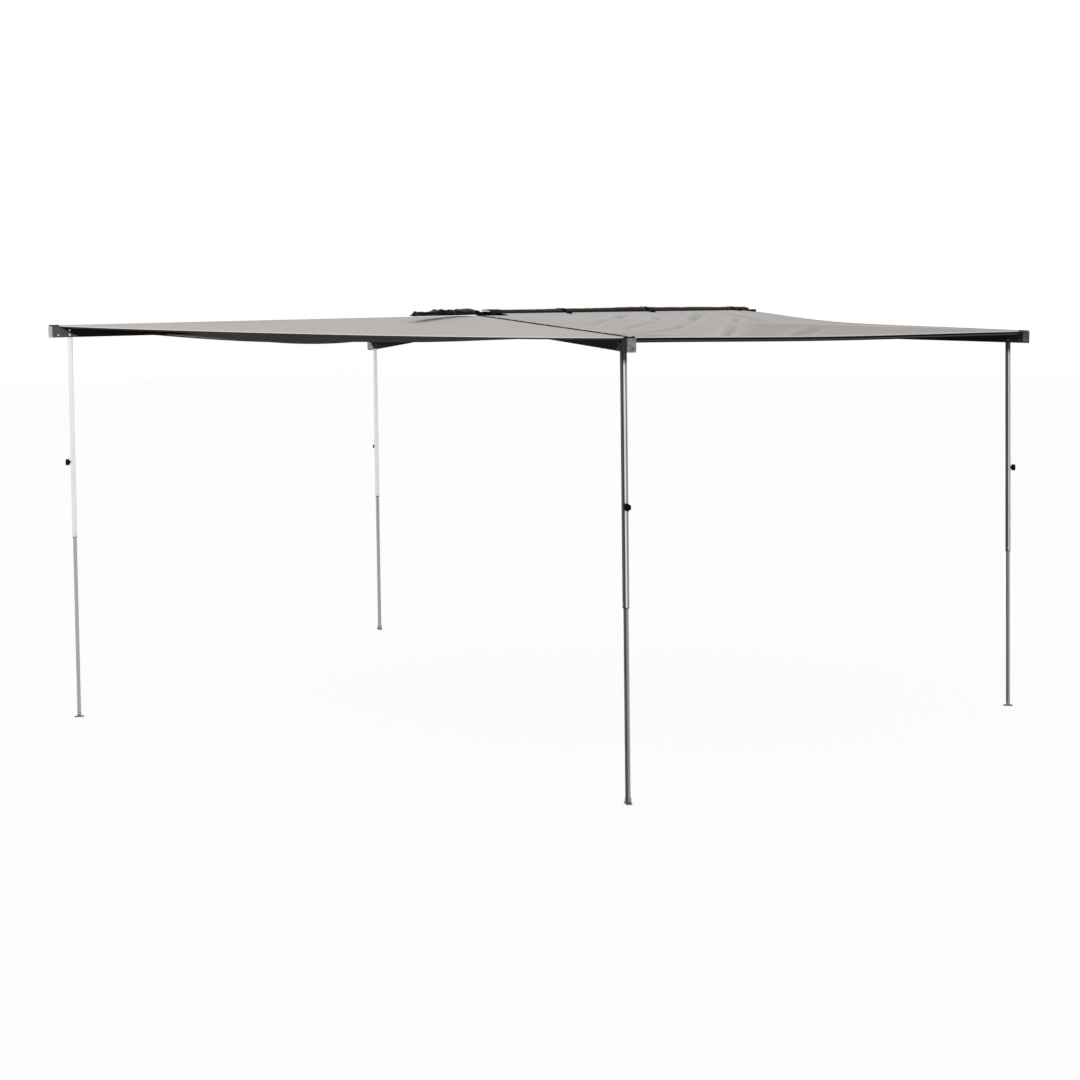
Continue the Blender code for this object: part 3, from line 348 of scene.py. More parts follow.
class Graph:
    """A material's nodes, added and linked by short calls."""

    def __init__(self, name: str) -> None:
        """Starts a material with one plain shader.

        Args:
            name: What the material is called.
        """
        self.material = bpy.data.materials.new(name)
        self.material.use_nodes = True
        self.tree = self.material.node_tree
        self.shader = self.tree.nodes["Principled BSDF"]

    def node(self, kind: str, settings: dict | None = None, **inputs: object) -> bpy.types.Node:
        """Adds a node.

        Args:
            kind: Blender's name for the node, without its ShaderNode prefix.
            settings: The node's own settings.
            inputs: Values or sockets for its inputs, their spaces written as underscores.

        Returns:
            The new node.
        """
        node = self.tree.nodes.new("ShaderNode" + kind)
        for key, value in (settings or {}).items():
            setattr(node, key, value)
        for key, value in inputs.items():
            socket = node.inputs[key.replace("_", " ")]
            if isinstance(value, Socket):
                self.tree.links.new(value, socket)
            else:
                socket.default_value = value
        return node

    def place(self, scale: Sequence[float], on_cloth: bool = False) -> Socket:
        """Returns a pattern's stretched coordinates, on the object or on its UV map."""
        source = self.node("TexCoord").outputs["UV" if on_cloth else "Object"]
        return self.node("Mapping", Vector=source, Scale=tuple(scale)).outputs["Vector"]

    def noise(self, where: Socket, scale: float, detail: float = 3.0) -> Socket:
        """Returns a cloudy pattern's strength."""
        return self.node("TexNoise", Vector=where, Scale=scale, Detail=detail).outputs["Fac"]

    def bands(self, where: Socket, way: str, pitch: float, distortion: float) -> Socket:
        """Adds straight bands, as threads and ribs lie.

        Args:
            where: The coordinates they lie on.
            way: Blender's name for their direction.
            pitch: How far apart they lie, in metres.
            distortion: How uneven they are.

        Returns:
            The socket of their strength.
        """
        scale = 2 * math.pi / (20.0 * pitch)
        settings = {"bands_direction": way}
        wave = self.node("TexWave", settings, Vector=where, Scale=scale, Distortion=distortion)
        return wave.outputs["Fac"]

    def along(self, direction: Sequence[float]) -> Socket:
        """Returns how far each point lies along a direction.

        Args:
            direction: The direction, one metre long, in the object's frame.

        Returns:
            The socket of the distance in metres.
        """
        source = self.node("TexCoord").outputs["Object"]
        reach = self.node("VectorMath", {"operation": "DOT_PRODUCT"})
        self.tree.links.new(source, reach.inputs[0])
        reach.inputs[1].default_value = direction
        return reach.outputs["Value"]

    def mapped(self, value: Socket, low: float, high: float, to: tuple[float, float]) -> Socket:
        """Takes a value from one range to another.

        Args:
            value: The value.
            low: The start of its own range.
            high: The end of its own range.
            to: The start and the end of the new range.

        Returns:
            The socket of the new value.
        """
        node = self.node("MapRange", {"clamp": True})
        self.tree.links.new(value, node.inputs["Value"])
        for key, number in zip(("From Min", "From Max", "To Min", "To Max"), (low, high, *to)):
            node.inputs[key].default_value = number
        return node.outputs["Result"]

    def mixed(self, factor: Socket, first: object, second: object) -> Socket:
        """Mixes two colours, each given as numbers or as a socket.

        Args:
            factor: The second colour's share.
            first: The colour where the factor is 0.
            second: The colour where the factor is 1.

        Returns:
            The socket of the mixed colour.
        """
        node = self.node("MixRGB")
        self.tree.links.new(factor, node.inputs["Fac"])
        for key, value in (("Color1", first), ("Color2", second)):
            if isinstance(value, Socket):
                self.tree.links.new(value, node.inputs[key])
            else:
                node.inputs[key].default_value = (*value, 1.0)
        return node.outputs["Color"]

    def times(self, first: Socket, second: Socket) -> Socket:
        """Multiplies one strength by another.

        Args:
            first: The one strength.
            second: The other strength.

        Returns:
            The socket of the product.
        """
        node = self.node("Math", {"operation": "MULTIPLY"})
        self.tree.links.new(first, node.inputs[0])
        self.tree.links.new(second, node.inputs[1])
        return node.outputs["Value"]

    def give(self, key: str, value: object) -> None:
        """Sets one of the shader's inputs.

        Args:
            key: The input's name.
            value: A number, a colour or a socket.
        """
        socket = self.shader.inputs[key]
        if isinstance(value, Socket):
            self.tree.links.new(value, socket)
        elif isinstance(value, tuple):
            socket.default_value = (*value, 1.0)
        else:
            socket.default_value = value

    def bumped(self, *layers: tuple[Socket, float, float]) -> None:
        """Gives the shader a relief of several patterns.

        Args:
            layers: Each pattern with its strength and its depth in metres.
        """
        normal = None
        for height, strength, depth in layers:
            node = self.node("Bump", Height=height, Strength=strength, Distance=depth)
            if normal is not None:
                self.tree.links.new(normal, node.inputs["Normal"])
            normal = node.outputs["Normal"]
        self.give("Normal", normal)


@dataclass(frozen=True)
class Finish:
    """What every finish has: its name, its colour and how rough and metallic it is."""

    name: str
    colour: Colour
    roughness: float
    metallic: float = 0.0
    shine: float = 0.5

    def tinted(self, share: float) -> Colour:
        """Returns the colour made lighter or darker by a share."""
        return tuple(min(1.0, channel * share) for channel in self.colour)

    def paint(self, graph: Graph) -> None:
        """Adds what one kind of finish has of its own."""
        raise NotImplementedError

    def material(self) -> Material:
        """Makes the finish.

        Returns:
            The new material.
        """
        graph = Graph(self.name)
        graph.give("Metallic", self.metallic)
        graph.give("IOR", 1.0 + self.shine)
        graph.material.diffuse_color = (*self.colour, 1.0)
        self.paint(graph)
        return graph.material

    def roughen(self, graph: Graph, pattern: Socket, less: float, more: float) -> None:
        """Lets the roughness vary with a pattern.

        Args:
            graph: The material's nodes.
            pattern: What it varies with.
            less: How far it falls below the finish's own roughness.
            more: How far it rises above that.
        """
        span = (self.roughness - less, self.roughness + more)
        graph.give("Roughness", graph.mapped(pattern, 0.3, 0.7, span))


@dataclass(frozen=True)
class CoatedMetal(Finish):
    """Powder coat: a fine orange peel, a little dust, and scuffs along the piece."""

    peel: float = 900.0
    scuff: Colour = (0.050, 0.050, 0.052)
    scuffed: float = 0.30

    def paint(self, graph: Graph) -> None:
        """Adds the peel, the dust and the scuffs.

        Args:
            graph: The material's nodes.
        """
        where = graph.place((1, 1, 1))
        peel = graph.noise(where, self.peel, 2)
        tone = graph.noise(where, 7.0, 5)
        scratch = graph.noise(graph.place((40, 40, 6)), 9.0, 6)
        base = graph.mixed(graph.mapped(tone, 0.35, 0.7, (0, 1)), self.colour, self.tinted(1.5))
        marks = graph.mapped(scratch, 0.66, 0.78, (0, self.scuffed))
        graph.give("Base Color", graph.mixed(marks, base, self.scuff))
        self.roughen(graph, tone, 0.08, 0.12)
        graph.bumped((peel, 0.25, 0.0003), (scratch, 0.10, 0.0002))


@dataclass(frozen=True)
class DrawnTube(Finish):
    """Drawn aluminium: fine lines along the tube, dull patches and a few dark rub marks."""

    streak: float = 0.75
    rub_mark: Colour = (0.25, 0.25, 0.26)

    def base(self, graph: Graph, lines: Socket) -> Socket:
        """Returns the metal's own colour, before the rub marks, streaked by its fine lines."""
        streaks = graph.mapped(lines, 0.3, 0.7, (0, 1))
        return graph.mixed(streaks, self.tinted(self.streak), self.colour)

    def paint(self, graph: Graph) -> None:
        """Adds the drawn lines, the dull patches and the rub marks.

        Args:
            graph: The material's nodes.
        """
        lines = graph.noise(graph.place((260, 260, 0.9)), 3.0, 6)
        patches = graph.noise(graph.place((6, 6, 1.6)), 2.0, 4)
        rubbed = graph.noise(graph.place((30, 30, 12)), 4.0, 5)
        marks = graph.mapped(rubbed, 0.70, 0.80, (0, 0.5))
        graph.give("Base Color", graph.mixed(marks, self.base(graph, lines), self.rub_mark))
        self.roughen(graph, patches, 0.06, 0.14)
        graph.bumped((lines, 0.18, 0.0003))


@dataclass(frozen=True)
class ReflectionBandedTube(DrawnTube):
    """Drawn aluminium with painted reflections, dull and bright bands down one face, and a painted
    shadow just below its bracket.
    """

    axis: tuple[float, float, float] = (1.0, 0.0, 0.0)
    middle: float = 0.0
    width: float = 0.030
    below: float = 2.0
    # painted reflections: the places and greys of the bands across the face
    bands: Pairs = ((0.0, 0.5), (1.0, 0.5))
    worn: Colour = (0.42, 0.42, 0.43)
    # painted shadow: its colour, and where it fades out below the tube's top
    shaded: Colour = (0.020, 0.020, 0.021)
    shade_ends: tuple[float, float] = (0.085, 0.055)

    def base(self, graph: Graph, lines: Socket) -> Socket:
        """Returns the metal's colour: painted reflection bands across the tube, worn by fine
        lines, with a painted shadow below the bracket.

        Args:
            graph: The material's nodes.
            lines: The pattern of the fine lines.

        Returns:
            The socket of the colour.
        """
        low = self.middle - self.width / 2
        # painted reflections: bands of grey across the face stand for what the tube reflects
        across = graph.mapped(graph.along(self.axis), low, low + self.width, (0, 1))
        ramp = graph.node("ValToRGB", Fac=across)
        stops = ramp.color_ramp.elements
        for number, (place, grey) in enumerate(self.bands):
            stop = stops[number] if number < len(stops) else stops.new(place)
            stop.position = place
            stop.color = (grey, grey, grey * 1.01, 1.0)
        wear = graph.mapped(lines, 0.45, 0.75, (0, 0.25))
        worn = graph.mixed(wear, ramp.outputs["Color"], self.worn)
        # painted shadow: darker just below the tube's top, where the bracket shades it
        low, high = (self.below - end for end in self.shade_ends)
        under = graph.mapped(graph.along((0, 0, 1)), low, high, (0, 0.93))
        return graph.mixed(under, worn, self.shaded)


@dataclass(frozen=True)
class PlatedSteel(Finish):
    """Zinc plate: small cloudy crystals and a dull edge here and there."""

    def paint(self, graph: Graph) -> None:
        """Adds the crystals and their grain.

        Args:
            graph: The material's nodes.
        """
        where = graph.place((1, 1, 1))
        clouds = graph.noise(where, 180.0, 4)
        fine = graph.noise(where, 1400.0, 2)
        crystals = graph.mapped(clouds, 0.35, 0.7, (0, 1))
        graph.give("Base Color", graph.mixed(crystals, self.tinted(0.72), self.colour))
        self.roughen(graph, clouds, 0.08, 0.15)
        graph.bumped((fine, 0.20, 0.0002))


@dataclass(frozen=True)
class PressedBracket(Finish):
    """The end bracket: dark coated cheeks, and an end wall that is left bare and bright.

    The end wall is found by how far it lies out along its arm, given in the row frame.
    """

    direction: tuple[float, float, float] = (1.0, 0.0, 0.0)
    wall_from: float = 0.0
    # the bare wall's grey, set per arm as painted light
    bare: Colour = (0.62, 0.62, 0.63)
    wall_edge: float = 0.0004
    brightest: float = 0.45

    def paint(self, graph: Graph) -> None:
        """Adds the coat and the bare end wall.

        Args:
            graph: The material's nodes.
        """
        where = graph.place((1, 1, 1))
        reach = graph.along(self.direction)
        wall = graph.mapped(reach, self.wall_from, self.wall_from + self.wall_edge, (0, 1))
        tone = graph.noise(where, 34.0, 5)
        fine = graph.noise(where, 700.0, 3)
        clouds = graph.mapped(tone, 0.35, 0.7, (0, 1))
        coat = graph.mixed(clouds, self.colour, self.tinted(1.5))
        # lighter clouds on the bare wall, whose grey is this arm's painted light
        worn = tuple(min(self.brightest, 4 * part) for part in self.bare)
        graph.give("Base Color", graph.mixed(wall, coat, graph.mixed(clouds, self.bare, worn)))
        self.roughen(graph, tone, 0.10, 0.12)
        graph.bumped((fine, 0.30, 0.0003), (tone, 0.15, 0.0008))


@dataclass(frozen=True)
class MouldedPlastic(Finish):
    """Moulded plastic: a spark-eroded grain with greyed high spots."""

    grain: float = 1500.0

    def paint(self, graph: Graph) -> None:
        """Adds the grain and the greyed high spots.

        Args:
            graph: The material's nodes.
        """
        where = graph.place((1, 1, 1))
        cells = graph.node("TexVoronoi", Vector=where, Scale=self.grain).outputs["Distance"]
        tone = graph.noise(where, 22.0, 5)
        greyed = graph.mapped(tone, 0.5, 0.75, (0, 0.7))
        graph.give("Base Color", graph.mixed(greyed, self.colour, self.tinted(2.6)))
        self.roughen(graph, tone, 0.05, 0.12)
        graph.bumped((cells, 0.25, 0.0003))


@dataclass(frozen=True)
class WovenCloth(Finish):
    """Woven cloth on its own flat map: warp and weft, slubs, soft creases and faded patches."""

    pitch: float = 0.0011
    faded: float = 0.93
    crease: float = 0.5
    sheen: float = 0.15
    # painted shade and highlight, read from the cloth's "crease" attribute
    reads_painted_crease_light: bool = False

    def paint(self, graph: Graph) -> None:
        """Adds the weave, the slubs, the patches and the creases, and on cloth that reads the
        "crease" attribute its painted shade and highlight.

        Args:
            graph: The material's nodes.
        """
        flat = graph.place((1, 1, 1), on_cloth=True)
        weave = graph.times(*(graph.bands(flat, way, self.pitch, 0.6) for way in ("X", "Y")))
        slubs = graph.noise(graph.place((90, 9, 1), on_cloth=True), 3.0, 4)
        patches = graph.noise(flat, 1.3, 5)
        folds = graph.noise(flat, 6.0, 5)
        fresh = graph.mapped(patches, 0.35, 0.68, (0, 1))
        base = graph.mixed(fresh, self.tinted(self.faded), self.colour)
        thick = graph.mapped(slubs, 0.52, 0.72, (0, 0.30))
        base = graph.mixed(thick, base, self.tinted(0.86))
        if self.reads_painted_crease_light:
            # painted shade in the folds and on the far part, painted highlight on the folds' brims
            crease = graph.node("Attribute", {"attribute_name": "crease"}).outputs["Fac"]
            crease_shade = graph.mapped(crease, 0.10, 1.0, (0, 0.85))
            base = graph.mixed(crease_shade, base, self.tinted(0.67))
            # painted highlight along the rising brims beside each fold
            raised = graph.mapped(crease, -0.55, -0.05, (0.8, 0))
            base = graph.mixed(raised, base, self.tinted(1.13))
        graph.give("Base Color", base)
        self.roughen(graph, patches, 0.06, 0.06)
        graph.give("Sheen Weight", self.sheen)
        graph.bumped((weave, 0.30, 0.0003), (folds, self.crease, 0.004))


@dataclass(frozen=True)
class Webbing(Finish):
    """Narrow woven webbing: ribs across it, dark selvedges and a little fluff."""

    rib: float = 0.0022

    def paint(self, graph: Graph) -> None:
        """Adds the ribs and the fluff.

        Args:
            graph: The material's nodes.
        """
        flat = graph.place((1, 1, 1), on_cloth=True)
        ribs = graph.bands(flat, "DIAGONAL", self.rib, 1.2)
        fluff = graph.noise(flat, 420.0, 3)
        raised = graph.mapped(ribs, 0.2, 0.9, (0, 1))
        graph.give("Base Color", graph.mixed(raised, self.tinted(0.6), self.tinted(1.3)))
        graph.give("Roughness", self.roughness)
        graph.give("Sheen Weight", 0.03)
        graph.bumped((ribs, 0.5, 0.0005), (fluff, 0.3, 0.0003))


@dataclass(frozen=True)
class Finishes:
    """Every finish on the awning."""

    coat: Material = CoatedMetal(
        "black_powder_coat", (0.0085, 0.0085, 0.0090), 0.58, shine=0.10
    ).material()
    link: Material = CoatedMetal(
        "grey_coated_link", (0.10, 0.10, 0.105), 0.46, 0.4, scuff=(0.35, 0.35, 0.36)
    ).material()
    white_tube: Material = DrawnTube(
        "bright_drawn_tube", (1.0, 1.0, 1.0), 0.20, 0.85, streak=0.97
    ).material()
    inner_tube: Material = DrawnTube(
        "dull_inner_tube", (0.62, 0.62, 0.63), 0.38, 0.9, streak=0.62
    ).material()
    zinc: Material = PlatedSteel("zinc_plate", (0.78, 0.78, 0.77), 0.28, 0.95).material()
    # painted shade: a dark copy of the zinc for the bolts and pins of the arms painted as shaded
    shaded_zinc: Material = PlatedSteel(
        "dull_steel_bolts", (0.070, 0.070, 0.072), 0.45, 0.6, shine=0.3
    ).material()
    plastic: Material = MouldedPlastic(
        "grained_black_plastic", (0.0060, 0.0060, 0.0065), 0.55, shine=0.13
    ).material()
    canopy: Material = WovenCloth(
        "grey_canopy_cloth", (0.512, 0.476, 0.452), 0.88, shine=0.25, pitch=0.0012, reads_painted_crease_light=True
    ).material()
    # painted shade: a much darker cloth for the canopy's underside and a hem band, standing for
    # the shade beneath
    shaded_underside: Material = WovenCloth(
        "dark_canopy_underside", (0.051, 0.042, 0.036), 0.88, shine=0.10, pitch=0.0012, faded=0.85,
        sheen=0.0
    ).material()
    cover: Material = WovenCloth(
        "black_cover_cloth", (0.0160, 0.0160, 0.0168), 0.52, shine=0.14, pitch=0.0009, crease=0.9,
        sheen=0.04
    ).material()
    # painted highlight: a lighter cloth along the top of each hem, where the turned edge catches
    # the light
    edge_highlight: Material = WovenCloth(
        "pale_turned_edge", (0.78, 0.73, 0.69), 0.85, shine=0.25, pitch=0.0012
    ).material()
    foot_steel: Material = PlatedSteel(
        "worn_foot_steel", (0.30, 0.26, 0.235), 0.50, 0.4, shine=0.4
    ).material()
    tape: Material = Webbing(
        "black_edge_tape", (0.0040, 0.0040, 0.0044), 0.80, shine=0.06, rib=0.0016
    ).material()
    webbing: Material = Webbing(
        "black_strap_webbing", (0.0045, 0.0045, 0.0050), 0.80, shine=0.07
    ).material()
    # painted reflection: a grey band with a blue cast across the front panel's black hem
    reflection_band: Material = Webbing(
        "grey_blue_tape", (0.078, 0.080, 0.084), 0.78, shine=0.10, rib=0.0016
    ).material()


@dataclass(frozen=True)
class Rail:
    """The rail's frame: it rises a little towards its front end, about the pivot."""

    hub: Vector
    rise: float = math.radians(0.45)
    top: float = 0.0483
    front: float = 0.004
    depth: float = 0.060
    groove_level: float = 0.0425
    groove_back: float = 0.0077
    canopy_start: float = 0.130
    canopy_end: float = 2.695
    far_end: float = 2.9343
    degrees: float = 0.0
    lane: float = -0.004
    free_from: float = 0.0005
    edge_drop: float = 0.0005

    @property
    def matrix(self) -> Matrix:
        """The turn and place that take the rail's own frame to the row frame."""
        return Matrix.Translation(self.hub) @ Matrix.Rotation(-self.rise, 4, "Y")

    def edge(self, share: float, beside: float) -> Vector:
        """Finds a point on the canopy's edge in the rail's groove.

        Args:
            share: How far out on the panel it lies, from 0 to 1.
            beside: How far it lies from the groove's mouth, in metres.

        Returns:
            The point in the row frame.
        """
        along = self.canopy_start + (self.canopy_end - self.canopy_start) * share
        level = self.groove_level - self.edge_drop
        return self.matrix @ Vector((along, self.front - beside, level))


@dataclass(frozen=True)
class ArmLook:
    """How one arm's end and leg are finished, with light painted per arm: the greys of its
    bracket's bare wall and cheeks, and its tube's painted reflection bands.
    """

    bare_length: float
    # painted light: these greys differ from arm to arm as each arm is lit
    bare: float
    lit_cheek_grey: float
    bands: Pairs = ()
    along: bool = False
    painted_shade_below: float = 0.03

    @property
    def dark(self) -> bool:
        """Whether the arm is painted as shaded: its bracket's cheeks, bolts and pin get darker
        copies.
        """
        return self.lit_cheek_grey < self.painted_shade_below


@dataclass(frozen=True)
class Arm:
    """One arm of the fan, with its own frame: X down its slope, Z out of its top."""

    hub: Vector
    name: str
    degrees: float
    droop_degrees: float
    lane: float
    block_end: float
    reach: float
    seam_tape: float
    look: ArmLook

    top: float = 0.031
    canopy_lift: float = 0.0017
    root_inset: float = 0.060
    tip_inset: float = 0.060
    free_from: float = 0.0185
    past_pin: float = 0.1107

    @property
    def body(self) -> str:
        """The CAD body that the arm is."""
        return f"arm_{self.name}"

    @property
    def droop(self) -> float:
        """The arm's slope below level, in radians."""
        return math.radians(self.droop_degrees)

    @property
    def pin_along(self) -> float:
        """How far down the arm its leg's pin lies."""
        return (self.reach - self.block_end) / math.cos(self.droop)

    @property
    def length(self) -> float:
        """How far down the arm its end bracket ends."""
        return self.pin_along + self.past_pin

    @property
    def matrix(self) -> Matrix:
        """The turn and place that take the arm's own frame to the row frame."""
        turn = Matrix.Rotation(-math.radians(self.degrees), 4, "Z")
        start = Matrix.Translation((self.block_end, -self.lane, 0))
        return Matrix.Translation(self.hub) @ turn @ start @ Matrix.Rotation(self.droop, 4, "Y")

    def edge(self, share: float, beside: float) -> Vector:
        """Finds a point on the canopy's edge along the arm's top.

        Args:
            share: How far out on the panel it lies, from 0 to 1.
            beside: How far it lies beside the arm's middle, in metres.

        Returns:
            The point in the row frame.
        """
        end = self.length - self.tip_inset
        along = self.root_inset + (end - self.root_inset) * share
        return self.matrix @ Vector((along, -beside, self.top + self.canopy_lift))


@dataclass(frozen=True)
class Crease:
    """A soft fold in the canopy along a line of (across, share) points."""

    line: Pairs
    width: float
    depth: float
    fade: float = 0.6
    brim: float = 0.55
    brim_reach: float = 1.7

    def drop(self, spot: Vector, points: Sequence[Vector]) -> float:
        """Returns how far the fold moves a spot, from its distance to the line.

        Args:
            spot: A place on the cloth.
            points: The line's own points on the cloth.

        Returns:
            The drop in metres, negative where the cloth rises.
        """
        best, place, passed = 1e9, 0.0, 0.0
        for near, far in zip(points, points[1:]):
            way = (far - near).to_2d()
            share = clamped((spot - near).to_2d().dot(way) / max(1e-9, way.length_squared))
            away = ((spot - near).to_2d() - way * share).length
            if away < best:
                best, place = away, passed + way.length * share
            passed += way.length
        reach = best / self.width
        faded = max(0.0, math.sin(math.pi * place / passed)) ** self.fade
        fold = math.exp(-reach * reach)
        fold -= self.brim * math.exp(-((reach - self.brim_reach) ** 2))
        return self.depth * faded * fold


@dataclass(frozen=True)
class Panel:
    """The canopy between two arms, or the rail and an arm: its hang, its cut and its creases."""

    name: str
    first: Rail | Arm
    last: Arm
    bodies: tuple[str, str]
    belly: float
    sag: float
    hollow: float
    roundness: float
    outwardness: float
    hem: tuple[tuple[float, str], ...]
    cut: tuple[float, float, float]
    piped: bool = False
    creases: tuple[Crease, ...] = ()
    # painted shade: where the far part of the cloth, turned from the light, grows darker (start,
    # slope across, strength)
    painted_shade_zone: tuple[float, float, float] = (9.0, 0.0, 0.0)
    columns: int = 110
    rows: int = 100
    flat_on_arm: float = 0.0185
    seam_gap: float = 0.0004
    thickness: float = 0.001
    ripple: float = 0.0035
    behind: float = 0.4
    hem_out: float = 0.0012
    hem_thickness: float = 0.0012
    hem_tilt: float = 0.25
    piping_radius: float = 0.0030

    def hang(self, across: float, share: float) -> float:
        """Finds how far the cloth hangs below its two arms at a place on it.

        Args:
            across: How far it lies from the first arm to the last, from 0 to 1.
            share: How far out on the panel it lies, from 0 to 1.

        Returns:
            The depth in metres.
        """
        deepest = self.outwardness / (self.outwardness + 1)
        peak = deepest**self.outwardness * (1 - deepest)
        middle = share**self.outwardness * max(0.0, 1 - share) / peak
        slack = max(0.0, math.sin(math.pi * across)) ** self.roundness
        return (self.belly * middle + self.sag * share**2) * slack

    def between(self, across: float, share: float) -> Vector:
        """Finds a place on the smooth cloth between the flats on the two arms.

        Args:
            across: How far it lies from the first arm to the last, from 0 to 1.
            share: How far out on the panel it lies, from 0 to 1.

        Returns:
            The place in the row frame.
        """
        near = self.first.edge(share, self.flat_on_arm)
        far = self.last.edge(share, -self.flat_on_arm)
        hub = self.last.hub
        start = math.atan2(near.y - hub.y, near.x - hub.x)
        turn = (math.atan2(far.y - hub.y, far.x - hub.x) - start) % (2 * math.pi) - 2 * math.pi
        radius = (near - hub).to_2d().length * (1 - across) + (far - hub).to_2d().length * across
        angle = start + turn * across
        swept = Vector((radius * math.cos(angle), radius * math.sin(angle), 0)) + hub
        swept.z = near.z + (far.z - near.z) * across
        place = near.lerp(far, across).lerp(swept, (1 - min(share, 1.0)) ** 2)
        inward = Vector((place.x - hub.x, place.y - hub.y, 0)).normalized()
        place -= inward * self.hollow * 4 * across * (1 - across) * share**2
        place.z -= self.hang(across, share)
        return place

    def spot(self, u: float, share: float) -> Vector:
        """Finds a place on the whole cloth, its flats on the two arms with it.

        Args:
            u: How far it lies from the first seam to the last, from 0 to 1.
            share: How far out on the panel it lies, from 0 to 1.

        Returns:
            The place in the row frame.
        """
        flat = 1.0 / (self.columns + 2)
        if u < flat:
            seam = self.first.edge(share, self.seam_gap)
            return seam.lerp(self.first.edge(share, self.flat_on_arm), u / flat)
        if u > 1 - flat:
            seam = self.last.edge(share, -self.seam_gap)
            return seam.lerp(self.last.edge(share, -self.flat_on_arm), (1 - u) / flat)
        return self.between((u - flat) / (1 - 2 * flat), share)

    def closed(self, u: float) -> float:
        """Finds how far beside the first seam a point lies when the fan is closed.

        The cloth stays flat on both arms and gathers in the gap between their channels.

        Args:
            u: How far the point lies from the first seam to the last, from 0 to 1.

        Returns:
            The distance in metres.
        """
        apart = self.last.lane - self.first.lane
        flat = 1.0 / (self.columns + 2)
        near, far = self.first.free_from, apart - self.last.free_from
        if u < flat:
            return near * u / flat
        if u > 1 - flat:
            return apart - self.last.free_from * (1 - u) / flat
        return near + (far - near) * (u - flat) / (1 - 2 * flat)

    def swing(self, place: Vector, u: float) -> float:
        """Finds the share of the swing that takes a place to where it lies when closed.

        Args:
            place: The place with the fan open, in the row frame.
            u: How far it lies from the first seam to the last, from 0 to 1.

        Returns:
            The share, from 0 to 1.
        """
        spot = (place - self.last.hub).to_2d()
        open_angle = -math.radians(self.first.degrees) - math.atan2(spot.y, spot.x)
        open_angle = (open_angle + self.behind) % (2 * math.pi) - self.behind
        beside = min(0.99, (self.first.lane + self.closed(u)) / spot.length)
        whole = math.radians(self.last.degrees - self.first.degrees)
        return clamped((open_angle - math.asin(beside)) / whole)

    def outward(self, u: float) -> Vector:
        """Returns the level direction that points out of the cloth at its outer edge."""
        way = self.spot(u, 1.0) - self.spot(u, 0.99)
        return Vector((way.x, way.y, 0)).normalized()


